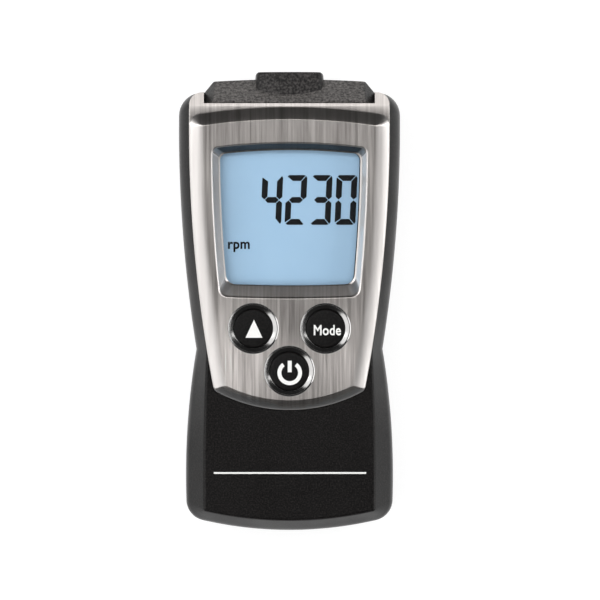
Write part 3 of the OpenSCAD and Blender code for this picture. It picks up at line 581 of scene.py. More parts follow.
def cut(piece: Piece, *tools: Piece) -> Piece:
    """Cuts other pieces out of a piece."""
    return combine(piece, "DIFFERENCE", *tools)


def add(piece: Piece, *tools: Piece) -> Piece:
    """Adds other pieces to a piece."""
    return combine(piece, "UNION", *tools)


def copied(source: Piece, name: str, at: Point) -> Piece:
    """Copies a piece to a place.

    Args:
        source: The piece that is copied.
        name: Name of the copy.
        at: Where its axis goes, in millimetres.

    Returns:
        The copy.
    """
    piece = source.copy()
    piece.data = source.data.copy()
    piece.name = piece.data.name = name
    bpy.context.collection.objects.link(piece)
    piece.data.transform(Matrix.Translation((at[0] * MM, at[1] * MM, 0)))
    return piece


def joined(name: str, pieces: Sequence[Piece]) -> Piece:
    """Joins pieces into one.

    Args:
        name: Name of the joined piece.
        pieces: The pieces that are used up.

    Returns:
        The joined piece.
    """
    use(pieces[0])
    for piece in pieces:
        piece.select_set(True)
    bpy.ops.object.join()
    return named(name)


def slice_off(piece: Piece, at: Spot, out: Vector) -> None:
    """Cuts off what lies outside a plane and closes the cut.

    Args:
        piece: The piece.
        at: A point of the plane, in millimetres.
        out: Direction of the side that goes.
    """
    use(piece)
    bpy.ops.object.mode_set(mode="EDIT")
    bpy.ops.mesh.select_all(action="SELECT")
    fine = MM / 1000
    bpy.ops.mesh.bisect(
        plane_co=Vector(at) * MM, plane_no=out.normalized(), use_fill=True, clear_outer=True, threshold=fine
    )
    bpy.ops.object.mode_set(mode="OBJECT")


def soften(piece: Piece, width: float, angle: float) -> None:
    """Bevels the edges of a piece that are sharper than an angle in degrees."""
    limit = math.radians(angle)
    apply(piece, "BEVEL", width=width * MM, segments=3, limit_method="ANGLE", angle_limit=limit)


def smooth(piece: Piece, angle: float = 28) -> Piece:
    """Shades a piece smooth below an angle, led by its large faces.

    Args:
        piece: The piece.
        angle: Angle in degrees from which an edge stays sharp.

    Returns:
        The piece.
    """
    use(piece)
    bpy.ops.object.shade_smooth_by_angle(angle=math.radians(angle))
    apply(piece, "WEIGHTED_NORMAL", keep_sharp=True, weight=100)
    for name in ("mark", "row"):
        layer = piece.data.attributes.get(name)
        if layer:
            piece.data.attributes.remove(layer)
    return piece


def flat_map(piece: Piece) -> None:
    """Gives a piece a map seen from above, across and along, for its brushing.

    Args:
        piece: The piece.
    """
    layer = piece.data.uv_layers.new(name="along")
    for loop, place in zip(piece.data.loops, layer.data):
        spot = piece.data.vertices[loop.vertex_index].co
        place.uv = (spot.x / 0.1 + 0.5, spot.y / 0.1 + 0.5)


def lettering(name: str, words: str, at: Spot, size: Point, thick: float, bold: float) -> Piece:
    """Writes a word and makes it a mesh of a given width.

    Args:
        name: Name of the new piece.
        words: The word.
        at: Left end of its baseline, in millimetres.
        size: Width of the whole word and size of the type.
        thick: Thickness of the print.
        bold: Weight that is added to the strokes, as a share of the type size.

    Returns:
        The new piece.
    """
    bpy.ops.object.select_all(action="DESELECT")
    bpy.ops.object.text_add()
    text = bpy.context.object.data
    text.body = words
    text.offset = bold
    text.space_character = 1.06
    text.extrude = 0.5
    text.resolution_u = 6
    bpy.ops.object.convert(target="MESH")
    piece = named(name)
    left = min(vert.co.x for vert in piece.data.vertices)
    span = max(vert.co.x for vert in piece.data.vertices) - left
    letter_h = 0.74
    for vert in piece.data.vertices:
        across, up, high = vert.co
        vert.co = Vector((
            (at[0] + (across - left) / span * size[0]) * MM,
            (at[1] + up * size[1] / letter_h) * MM,
            (at[2] + (high + 0.5) * thick) * MM,
        ))
    return smooth(piece)


# Finishes


class Tree:
    """Shader nodes, added one by one."""

    def __init__(self, tree: bpy.types.NodeTree) -> None:
        """Works on a node tree."""
        self.tree = tree

    def node(self, kind: str, **settings: object) -> bpy.types.Node:
        """Adds a node.

        Args:
            kind: The node's type, without its prefix.
            settings: Settings of the node by name.

        Returns:
            The node.
        """
        made = self.tree.nodes.new("ShaderNode" + kind)
        for key, value in settings.items():
            setattr(made, key, value)
        return made

    def join(self, source: Socket | float | Colour, target: Socket) -> None:
        """Feeds a socket from another one, or with a number or a colour.

        Args:
            source: The other socket, the number or the colour.
            target: The socket.
        """
        if isinstance(source, bpy.types.NodeSocket):
            self.tree.links.new(source, target)
        else:
            target.default_value = (*source, 1) if isinstance(source, tuple) else source

    def fed(self, made: bpy.types.Node, **sources: Socket | float | Colour) -> bpy.types.Node:
        """Feeds sockets of a node, named with _ for a space or by i and their number.

        Args:
            made: The node.
            sources: What feeds each socket.

        Returns:
            The node.
        """
        for key, source in sources.items():
            by_number = key[1:].isdigit()
            self.join(source, made.inputs[int(key[1:]) if by_number else key.replace("_", " ")])
        return made

    def spread(self, value: Socket, low: float, high: float, start: float = 0.3, end: float = 0.7) -> Socket:
        """Maps a value from a range to a range.

        Args:
            value: The value.
            low: Result at the start.
            high: Result at the end.
            start: Value that gives the low result.
            end: Value that gives the high result.

        Returns:
            The result.
        """
        made = self.fed(self.node("MapRange"), Value=value, From_Min=start, From_Max=end)
        return self.fed(made, To_Min=low, To_Max=high).outputs["Result"]

    def mixed(self, share: Socket, first: Socket, second: Socket) -> Socket:
        """Mixes two shaders by the share of the second."""
        return self.fed(self.node("MixShader"), i0=share, i1=first, i2=second).outputs[0]

    def reckoned(self, way: str, first: Socket, second: Socket | float) -> Socket:
        """Reckons with two numbers."""
        return self.fed(self.node("Math", operation=way), i0=first, i1=second).outputs[0]

    def part(self, vector: Socket, axis: str) -> Socket:
        """Takes one part of a vector."""
        return self.fed(self.node("SeparateXYZ"), i0=vector).outputs[axis]


class Recipe(Tree):
    """Node tree of one material."""

    def __init__(self, name: str) -> None:
        """Starts a material of that name."""
        self.material = bpy.data.materials.new(name + "_finish")
        self.material.use_nodes = True
        super().__init__(self.material.node_tree)
        self.shader = self.tree.nodes["Principled BSDF"]

    def shade(self, **sources: Socket | float | Colour) -> Material:
        """Feeds the shader's own sockets and gives the material."""
        self.fed(self.shader, **sources)
        return self.material

    def coords(self, kind: str = "Object") -> Socket:
        """Adds texture coordinates."""
        return self.node("TexCoord").outputs[kind]

    def noise(self, size: float, detail: float = 2, stretch: Spot = (1, 1, 1)) -> Socket:
        """Adds noise.

        Args:
            size: Size of its features in millimetres.
            detail: Number of finer layers.
            stretch: Scale of the pattern along the three axes.

        Returns:
            The noise, from 0 to 1.
        """
        mapping = self.fed(self.node("Mapping"), Vector=self.coords())
        mapping.inputs["Scale"].default_value = stretch
        made = self.fed(self.node("TexNoise"), Vector=mapping.outputs[0], Detail=detail)
        return self.fed(made, Scale=1 / (size * MM)).outputs["Fac"]

    def blend(self, share: Socket, first: Socket | Colour, second: Colour) -> Socket:
        """Blends two colours by the share of the second."""
        return self.fed(self.node("Mix", data_type="RGBA"), i0=share, i6=first, i7=second).outputs[2]

    def dim(self, colour: Socket, share: Socket) -> Socket:
        """Multiplies a colour by a number, up to white."""
        made = self.node("Mix", data_type="RGBA", blend_type="MULTIPLY", clamp_result=True)
        return self.fed(made, i0=1.0, i6=colour, i7=share).outputs[2]

    def turned(self, axis: str, start: float, end: float, low: float, high: float) -> Socket:
        """Maps how far a face turns along an axis to a range.

        Args:
            axis: "X", "Y" or "Z".
            start: Part of the normal that gives the low result.
            end: Part of the normal that gives the high result.
            low: Result at the start.
            high: Result at the end.

        Returns:
            The result.
        """
        return self.spread(self.part(self.coords("Normal"), axis), low, high, start, end)

    def near(self, spot: Spot, reach: float, inner: float) -> Socket:
        """Maps the distance from a spot to a number that fades to 1.

        Args:
            spot: The spot in millimetres.
            reach: Distance in millimetres at which the number is 1.
            inner: The number at the spot.

        Returns:
            The result.
        """
        made = self.fed(self.node("VectorMath", operation="DISTANCE"), i0=self.coords())
        made.inputs[1].default_value = [c * MM for c in spot]
        fade = self.spread(made.outputs["Value"], inner, 1, 0, reach * MM)
        fade.node.interpolation_type = "SMOOTHSTEP"
        return fade

    def bump(self, height: Socket, depth: float) -> Socket:
        """Adds a relief of a depth in millimetres."""
        return self.fed(self.node("Bump"), Height=height, Distance=depth * MM).outputs[0]


@dataclass(frozen=True)
class Plain:
    """A finish with a fine grain, slow changes of colour and a little wear in its gloss, and, where asked,
    painted shade on faces turned sideways.
    """

    name: str
    colour: Colour
    fleck: Colour
    fleck_size: float
    grain: float
    grain_depth: float
    rough: Point
    metal: float = 0.0
    gloss: float = 0.5
    flecks: Point = (0.3, 0.7)
    flank_shade: float = 1.0

    def build(self) -> Material:
        """Builds the material.

        Returns:
            The material.
        """
        recipe = Recipe(self.name)
        fleck = recipe.spread(recipe.noise(self.fleck_size, 3), 0, 1, *self.flecks)
        colour = recipe.blend(fleck, self.colour, self.fleck)
        # Painted shade: the colour is darker on faces that turn sideways along X.
        if self.flank_shade < 1:
            colour = recipe.dim(colour, recipe.turned("X", -0.5, -0.25, self.flank_shade, 1))
            colour = recipe.dim(colour, recipe.turned("X", 0.25, 0.5, 1, self.flank_shade))
        return recipe.shade(
            Base_Color=colour,
            Roughness=recipe.spread(recipe.noise(9), *self.rough),
            Normal=recipe.bump(recipe.noise(self.grain), self.grain_depth),
            Metallic=self.metal,
            Specular_IOR_Level=self.gloss,
        )


@dataclass(frozen=True)
class Brushed:
    """Drawn sheet metal, brushed along the meter, with fine streaks and a soft wide gloss across them, and
    with painted highlights and painted shade in its colour.
    """

    name: str = "brushed_plate"
    colour: Colour = (0.51, 0.481, 0.461)
    streak: Colour = (0.315, 0.293, 0.279)
    # Lighter colour blended onto faces turned sideways: a painted highlight on the side bevels.
    side: Colour = (0.64, 0.612, 0.594)
    side_highlight_turn: Point = (0.01, 0.2)
    rough: float = 0.38
    spread: float = 0.8
    # Painted light and shade by facing, row by row: the brow of the window and the inner part of the lower
    # bevel get painted shade, the outer part of the lower bevel painted light, faces tipped a little towards
    # the nose a painted highlight, the upper bevel painted shade, the window's left wall painted shade and
    # its right wall a painted highlight.
    turns: tuple[tuple[str, float, float, float, float], ...] = (
        ("Y", -0.82, -0.62, 0.18, 1.0),
        ("Y", -0.56, -0.27, 2.6, 1.0),
        ("Y", -0.27, -0.20, 0.38, 1.0),
        ("Y", 0.01, 0.10, 1.0, 1.3),
        ("Y", 0.12, 0.24, 1.0, 0.46),
        ("X", 0.62, 0.82, 1.0, 0.5),
        ("X", -0.82, -0.62, 1.15, 1.0),
    )
    # Painted pools of light on the lower plateau, left and right, and a painted shade between the keys: the
    # colour is multiplied up or down near each spot.
    painted_light_spots: tuple[tuple[Spot, float, float], ...] = (
        ((-13.0, -13.5, 24.7), 20.0, 2.3),
        ((13.0, -12.0, 24.7), 16.0, 1.85),
        ((1.5, -4.5, 24.7), 6.5, 0.8),
    )

    def build(self) -> Material:
        """Builds the material.

        Returns:
            The material.
        """
        recipe = Recipe(self.name)
        fine = recipe.noise(0.4, 3, (1, 0.025, 0.025))
        wide = recipe.spread(recipe.noise(2.2, 2, (1, 0.05, 0.05)), 0.0, 0.25, 0, 1)
        both = recipe.fed(recipe.node("Math", operation="MULTIPLY_ADD"), i0=fine, i1=0.75, i2=wide)
        colour = recipe.blend(recipe.spread(both.outputs[0], 0, 1), self.streak, self.colour)
        # Painted pools of light and painted shade round the spots above.
        for glow in self.painted_light_spots:
            colour = recipe.dim(colour, recipe.near(*glow))
        # Painted highlight: the colour turns lighter on faces that turn sideways along X.
        start, end = self.side_highlight_turn
        colour = recipe.blend(recipe.turned("X", -end, -start, 1, 0), colour, self.side)
        colour = recipe.blend(recipe.turned("X", start, end, 0, 1), colour, self.side)
        # Painted light and shade: each facing row above darkens or lightens the colour.
        for turn in self.turns:
            colour = recipe.dim(colour, recipe.turned(*turn))
        return recipe.shade(
            Base_Color=colour,
            Roughness=recipe.spread(fine, self.rough - 0.05, self.rough + 0.05),
            Normal=recipe.bump(fine, 0.004),
            Tangent=recipe.node("Tangent", direction_type="UV_MAP", uv_map="along").outputs[0],
            Metallic=1.0,
            Anisotropic=self.spread,
        )


@dataclass(frozen=True)
class Clear:
    """Clear moulding or glass, with a faint haze."""

    name: str
    colour: Colour
    alpha: float
    rough: float = 0.03

    def build(self) -> Material:
        """Builds the material.

        Returns:
            The material.
        """
        recipe = Recipe(self.name)
        deeper = tuple(0.94 * c for c in self.colour)
        return recipe.shade(
            Base_Color=recipe.blend(recipe.noise(4, 1), self.colour, deeper),
            Roughness=recipe.spread(recipe.noise(6), self.rough, self.rough + 0.03),
            Alpha=self.alpha,
            IOR=1.49,
        )


@dataclass(frozen=True)
class Board:
    """Circuit board with solder mask over copper tracks."""

    name: str = "board"
    mask: Colour = (0.02, 0.13, 0.05)
    track: Colour = (0.05, 0.24, 0.09)
    pitch: float = 1.3

    def build(self) -> Material:
        """Builds the material.

        Returns:
            The material.
        """
        recipe = Recipe(self.name)
        made = recipe.fed(recipe.node("TexBrick", offset=0.5), Vector=recipe.coords(), Mortar_Size=0.12)
        recipe.fed(made, Scale=1 / (self.pitch * MM), Brick_Width=3.5, Row_Height=1.0)
        lines = made.outputs["Fac"]
        return recipe.shade(
            Base_Color=recipe.blend(lines, self.mask, self.track),
            Normal=recipe.bump(lines, 0.03),
            Roughness=recipe.spread(recipe.noise(3), 0.25, 0.4),
        )


class Finish(Enum):
    """The finishes of the meter."""

    HOUSING = Plain("housing_plastic", (0.001, 0.0008, 0.0008), (0.0175, 0.0147, 0.0142), 0.3, 0.3, 0.02,
                    (0.4, 0.48), 0.0, 0.22, (0.45, 0.75))
    # Head and nose: their last number is painted shade on faces turned sideways.
    HEAD = Plain("head_plastic", (0.015, 0.014, 0.0135), (0.165, 0.153, 0.146), 0.5, 0.4, 0.08,
                 (0.46, 0.54), 0.0, 0.35, (0.3, 0.75), 0.35)
    NOSE = Plain("nose_plastic", (0.004, 0.0035, 0.0035), (0.082, 0.074, 0.072), 0.5, 0.4, 0.05,
                 (0.46, 0.54), 0.0, 0.3, (0.38, 0.8), 0.4)
    COVER = Plain("cover_plastic", (0.002, 0.0019, 0.0018), (0.024, 0.0225, 0.0215), 0.42, 0.3, 0.025,
                  (0.42, 0.52), 0.0, 0.35, (0.42, 0.78))
    PLATE = Brushed()
    RING = Plain("key_ring", (0.36, 0.355, 0.35), (0.33, 0.325, 0.32), 1.5, 2.0, 0.001, (0.13, 0.18), 1.0)
    CAP = Plain("key_cap", (0.0015, 0.0013, 0.0013), (0.011, 0.0096, 0.0092), 0.4, 0.25, 0.012,
                (0.42, 0.5), 0.0, 0.22, (0.42, 0.78))
    MARK = Plain("key_mark", (0.86, 0.86, 0.84), (0.8, 0.8, 0.78), 0.8, 0.3, 0.002, (0.4, 0.5))
    PANE = Clear("pane", (0.03, 0.035, 0.04), 0.05)
    LENS = Clear("lens", (0.10, 0.13, 0.15), 0.3, 0.02)
    DISPLAY = Plain("display", (0.395, 0.615, 0.838), (0.41, 0.632, 0.853), 5.0, 0.5, 0.001,
                    (0.3, 0.36), 0.0, 0.3)
    SEGMENT = Plain("display_segments", (0.003, 0.003, 0.0035), (0.005, 0.005, 0.006), 0.8, 0.5, 0.001,
                    (0.4, 0.5), 0.0, 0.2)
    LIGHT_GUIDE = Plain("light_guide", (0.78, 0.84, 0.87), (0.7, 0.78, 0.82), 2.0, 0.6, 0.01, (0.2, 0.3))
    WHITE = Plain("frame_white", (0.72, 0.72, 0.70), (0.66, 0.66, 0.64), 1.0, 0.3, 0.01, (0.4, 0.5))
    RUBBER = Plain("contact_rubber", (0.52, 0.35, 0.37), (0.12, 0.10, 0.10), 0.5, 0.2, 0.02, (0.6, 0.75))
    FOAM = Plain("seal_foam", (0.012, 0.012, 0.012), (0.03, 0.03, 0.03), 0.2, 0.15, 0.06, (0.8, 0.95))
    BOARD = Board()
    INNER = Plain("inner_black", (0.015, 0.015, 0.015), (0.022, 0.022, 0.022), 0.5, 0.25, 0.01, (0.4, 0.55))
    EMITTER = Plain("emitter_resin", (0.42, 0.06, 0.04), (0.5, 0.09, 0.06), 1.0, 0.5, 0.003, (0.08, 0.14))
    RECEIVER = Plain("receiver_resin", (0.03, 0.045, 0.075), (0.045, 0.06, 0.095), 1.0, 0.5, 0.003,
                     (0.08, 0.14))
    PLATED = Plain("plated_metal", (0.66, 0.64, 0.6), (0.55, 0.53, 0.5), 0.6, 0.3, 0.006, (0.2, 0.34), 1.0)
    JACKET = Plain("cell", (0.13, 0.21, 0.32), (0.15, 0.235, 0.35), 3.0, 1.2, 0.002, (0.25, 0.33), 0.4)
    SCREW = Plain("screw", (0.42, 0.41, 0.4), (0.33, 0.32, 0.31), 0.5, 0.2, 0.008, (0.28, 0.42), 1.0)

    @cache
    def material(self) -> Material:
        """Gives the material, built once."""
        return self.value.build()


def hand_over(
    piece: Piece, finish: Finish, body: str = "housing", stands_for: Sequence[str] = ()
) -> None:
    """Dresses a finished piece, lets it ride and hides the solids that it stands for.

    Args:
        piece: The piece.
        finish: Its finish.
        body: The body that it rides on.
        stands_for: The solids that it replaces.
    """
    piece.data.materials.clear()
    piece.data.materials.append(finish.material())
    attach(piece, body)
    if stands_for:
        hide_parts(*stands_for)
    LOG.info("%s: %d faces, rides on %s", piece.name, len(piece.data.polygons), body)


# Sub-assemblies


def notch(low_z: float) -> Piece:
    """Builds the block that makes room for the sensor head, from a height upwards."""
    return block("notch", (-PLAN.notch_half, PLAN.notch_y, low_z), (PLAN.notch_half, 48, 26))


@dataclass(frozen=True)
class FrontShell:
    """Upper half of the housing, with its bevelled grip and the pocket for the plate."""

    bevel_z: float = 17.5
    side_w: float = 3.95
    waist_w: float = 2.35
    end_w: float = 2.4
    low_soft: float = 0.9
    high_soft: float = 0.45
    boss_r: float = 2.3
    board_boss_r: float = 1.7
    board_boss_z: float = 16.4
    board_screws: tuple[Point, ...] = ((18.3, 20.15), (9.25, -19.875))
    hollow_z: Point = (18.5, 19.6)
    hollow_way: float = 0.92
    head_curve: float = 1.7
    pocket_in: Spot = (-0.1, -0.1, -0.9)
    pocket_top_z: float = 26.0
    window_in: Spot = (1.4, 2.5, 1.3)
    window_z: Point = (19.7, 23.0)
    ledge_in: Spot = (0.65, 1.65, 0.45)
    ledge_z: Point = (21.2, 23.2)
    line_box: tuple[float, float, float, float] = (-15.6, 15.85, -35.5, -35.14)
    line_sunk: float = 0.02
    line_ink: float = 0.015

    def outline_at(self, z: float, way: float, soft: float, inset: float = 0.0) -> Ring:
        """Gives the outline at a height.

        Args:
            z: Height.
            way: Share of the bevel that is reached.
            soft: Extra inset of the softened edges.
            inset: Inset all round.

        Returns:
            The ring.
        """
        flank = inset + PLAN.draft * min(1.0, (z - PLAN.part_z) / (self.bevel_z - PLAN.part_z))
        up = max(0.0, z - self.bevel_z) / (PLAN.seat_z - self.bevel_z)
        head = flank + (PLAN.plate_in - PLAN.draft) * min(1.0, up) ** self.head_curve
        grown = [flank + (w - PLAN.draft) * way + soft for w in (self.waist_w, self.side_w, self.end_w)]
        return level(PLAN.body(head, *grown, flank), z)

    def rings(self) -> list[Ring]:
        """Gives the rings of the outside, with a fine seam and softened edges.

        Returns:
            The rings from the parting line to the front face.
        """
        height = PLAN.front_z - self.bevel_z
        made = [
            level(PLAN.even(PLAN.seam), PLAN.part_z),
            level(PLAN.even(0.0), PLAN.part_z + PLAN.seam),
            self.outline_at((PLAN.part_z + self.bevel_z) / 2, 0, 0),
        ]
        for k in range(7):
            t = k / 6
            z = self.bevel_z + self.low_soft * (2 * t - 1)
            made.append(self.outline_at(z, t * t * self.low_soft / height, 0))
        first = self.bevel_z + self.low_soft
        last = PLAN.front_z - self.high_soft
        for k in range(1, 8):
            z = first + (last - first) * k / 8
            made.append(self.outline_at(z, (z - self.bevel_z) / height, 0))
        for k in range(7):
            t = k / 6
            drop = self.high_soft * (1 - t) ** 2
            way = (1 - self.high_soft / height) * (1 - t) ** 2 + 2 * t * (1 - t) + t * t
            made.append(self.outline_at(PLAN.front_z - drop, way, self.high_soft * t * t))
        return made

    def inside(self) -> Piece:
        """Builds the hollow inside, round the bosses of both kinds of screws.

        Returns:
            The solid that is cut out.
        """
        height = PLAN.front_z - self.bevel_z
        rings = [level(PLAN.even(PLAN.wall), z) for z in (PLAN.part_z - 1, PLAN.part_z)]
        for z in (self.bevel_z, *self.hollow_z, PLAN.ceiling_z):
            way = self.hollow_way * (z - self.bevel_z) / height
            rings.append(self.outline_at(z, way, 0, PLAN.wall))
        hollow = loft("hollow", rings)
        top = PLAN.ceiling_z + 1
        bosses = [post("boss", at, self.boss_r, PLAN.part_z, top) for at in mirrored(PLAN.screws)]
        for at in mirrored(self.board_screws):
            bosses.append(post("boss", at, self.board_boss_r, self.board_boss_z, top))
        return cut(hollow, *bosses)

    def build(self) -> None:
        """Builds and dresses the shell."""
        shell = loft("front_shell_moulding", self.rings())
        cut(shell, self.inside())
        pocket = PLAN.plate(*self.pocket_in, PLAN.top_y, PLAN.top_bow_r)
        cut(shell, prism("pocket", pocket, PLAN.seat_z, self.pocket_top_z))
        window = aside(PLAN.recess(*self.window_in), PLAN.window_shift)
        cut(shell, prism("window", window, *self.window_z))
        cut(shell, prism("ledge", PLAN.recess(*self.ledge_in), *self.ledge_z))
        cut(shell, *[post("guide", at, PLAN.guide_r, *self.window_z, 64) for at in PLAN.keys])
        cut(shell, notch(PLAN.notch_z))
        hand_over(smooth(shell), Finish.HOUSING, stands_for=["front_shell"])
        self.line()

    def line(self) -> None:
        """Prints the fine white line across the grip."""
        low, high = PLAN.front_z - self.line_sunk, PLAN.front_z + self.line_ink
        stripe = prism("grip_line", rectangle(*self.line_box), low, high)
        hand_over(smooth(stripe), Finish.MARK)


@dataclass(frozen=True)
class RearShell:
    """Lower half of the housing, with the battery bay, the rails and the screw recesses."""

    round_w: float = 2.7
    round_h: float = 5.0
    boss_r: float = 2.35
    bay_half: float = 11.05
    bay_low_y: float = -45.025
    bay_end_y: float = 3.275
    bay_z: Point = (1.8, 13.0)
    bay_wall_half: float = 12.15
    bay_wall_y: float = 4.375
    rail_half: float = 14.2
    rail_y: float = 6.675
    rail_top_z: float = 3.2
    bay_past_y: float = -47.0
    past_z: float = 15.0
    roof_z: Point = (11.6, 14.0)
    flange_groove: tuple[Spot, Spot] = ((-18.5, 39.5, 3.4), (18.5, 42.4, 13.4))
    hole_r: float = 1.2
    hole_z: float = 4.2
    recess_sides: int = 47
    hole_sides: int = 31
    slits: tuple[Point, ...] = ((-5.5, 3.1), (5.5, 3.1))
    slit_r: float = 1.05
    slit_z: float = 12.0
    slot_end_y: float = 4.475
    tongue_half: float = 12.9
    tongue_z: Point = (0.9, 2.0)
    recess: tuple[Point, ...] = ((2.35, -1), (2.35, -0.02), (2.05, 0.25), (2.05, 4.4))
    slot: tuple[Point, ...] = ((12.15, -0.5), (12.15, 0.0), (12.0, 0.15), (12.0, 1.5))
    lip: tuple[Point, ...] = (
        (0.95, 11.6), (0.95, 13.25), (1.05, 13.4), (1.7, 13.4), (1.8, 13.25), (1.8, 11.6)
    )

    def outside(self, name: str) -> Piece:
        """Builds the outside, which also shapes the end of the cover.

        Args:
            name: Name of the new piece.

        Returns:
            The solid.
        """
        rings = []
        for s, c in quarter(12):
            rings.append(level(PLAN.even(PLAN.draft + self.round_w * (1 - s)), self.round_h * (1 - c)))
        rings.append(level(PLAN.even(0), PLAN.part_z - PLAN.seam))
        rings.append(level(PLAN.even(PLAN.seam), PLAN.part_z))
        return loft(name, rings)

    def inside(self) -> Piece:
        """Builds the hollow inside, round the bay, the rails and the bosses.

        Returns:
            The solid that is cut out.
        """
        rings = []
        for s, c in quarter(6):
            inset = PLAN.wall + PLAN.draft + (self.round_w - PLAN.wall / 2) * (1 - s)
            rings.append(level(PLAN.even(inset), PLAN.wall + self.round_h * (1 - c)))
        rings.append(level(PLAN.even(PLAN.wall), PLAN.part_z + 1))
        side, rail = self.bay_wall_half, self.rail_half
        return cut(
            loft("hollow", rings),
            block("bay", (-side, self.bay_past_y, 0), (side, self.bay_wall_y, self.past_z)),
            block("rails", (-rail, self.bay_past_y, 0), (rail, self.rail_y, self.rail_top_z)),
            *[post("boss", at, self.boss_r, 0, self.past_z) for at in mirrored(PLAN.screws)],
        )

    def build(self) -> None:
        """Builds and dresses the shell."""
        shell = self.outside("rear_shell_moulding")
        for at in mirrored(PLAN.screws):
            recess = tower("recess", at, self.recess, self.recess_sides)
            cut(shell, recess, post("hole", at, self.hole_r, self.hole_z, self.past_z, self.hole_sides))
        cut(shell, self.inside())
        roof, top = self.roof_z
        side = self.bay_wall_half
        add(shell, block("roof", (-side, self.bay_low_y, roof), (side, self.bay_wall_y, top)))
        add(shell, loft("lip", [level(PLAN.even(inset), z) for inset, z in self.lip], closed=False))
        low, high = self.bay_z
        cut(shell, block("bay", (-self.bay_half, self.bay_low_y, low), (self.bay_half, self.bay_end_y, high)))
        low, high = self.tongue_z
        cut(
            shell,
            loft("slot", [level(rectangle(-x, x, PLAN.past_y, self.slot_end_y), z) for x, z in self.slot]),
            block("slot", (-self.tongue_half, PLAN.past_y, low), (self.tongue_half, self.slot_end_y, high)),
        )
        cut(
            shell,
            notch(PLAN.notch_z),
            block("groove", *self.flange_groove),
            *[post("slit", at, self.slit_r, self.slit_z, self.past_z, 4) for at in self.slits],
        )
        hand_over(smooth(shell), Finish.HOUSING, stands_for=["rear_shell"])


@dataclass(frozen=True)
class Cover:
    """Sliding battery cover with tongues and thumb grooves."""

    half: float = 11.9
    tongue: float = 0.9
    end_y: float = 4.375
    skin: float = 1.0
    top: float = 1.9
    chamfer: float = 0.25
    soft: float = 0.15
    grooves: tuple[float, ...] = (-40.7, -38.7, -36.7, -34.7)
    groove_half: float = 6.0
    groove_r: float = 0.5

    def build(self, outside: Callable[[str], Piece]) -> None:
        """Builds and dresses the cover.

        Args:
            outside: Builds the outside of the rear shell.
        """
        wide = self.half + self.tongue
        rows = (
            (self.half - self.chamfer, -0.5),
            (self.half - self.chamfer, 0.0),
            (self.half, self.chamfer),
            (self.half, self.skin),
            (wide, self.skin),
            (wide, self.top - self.soft),
            (wide - self.soft, self.top),
        )
        rings = []
        for x, z in rows:
            rings.append(level(rectangle(-x, x, PLAN.past_y, self.end_y - max(0.0, self.chamfer - z)), z))
        plate = loft("battery_cover_moulding", rings)
        combine(plate, "INTERSECT", outside("outside"))
        half, r, soft = self.groove_half, self.groove_r, self.soft
        bar = [(0.0, -half), (r - soft, -half), (r, soft - half)]
        bar += [(r, half - soft), (r - soft, half), (0.0, half)]
        for y in self.grooves:
            groove = spun("groove", bar, along="Y", steps=32)
            groove.data.transform(Matrix.Translation((0, y * MM, 0)) @ Matrix.Rotation(math.pi / 2, 4, "Z"))
            cut(plate, groove)
        hand_over(smooth(plate), Finish.COVER, "cover", ["battery_cover"])


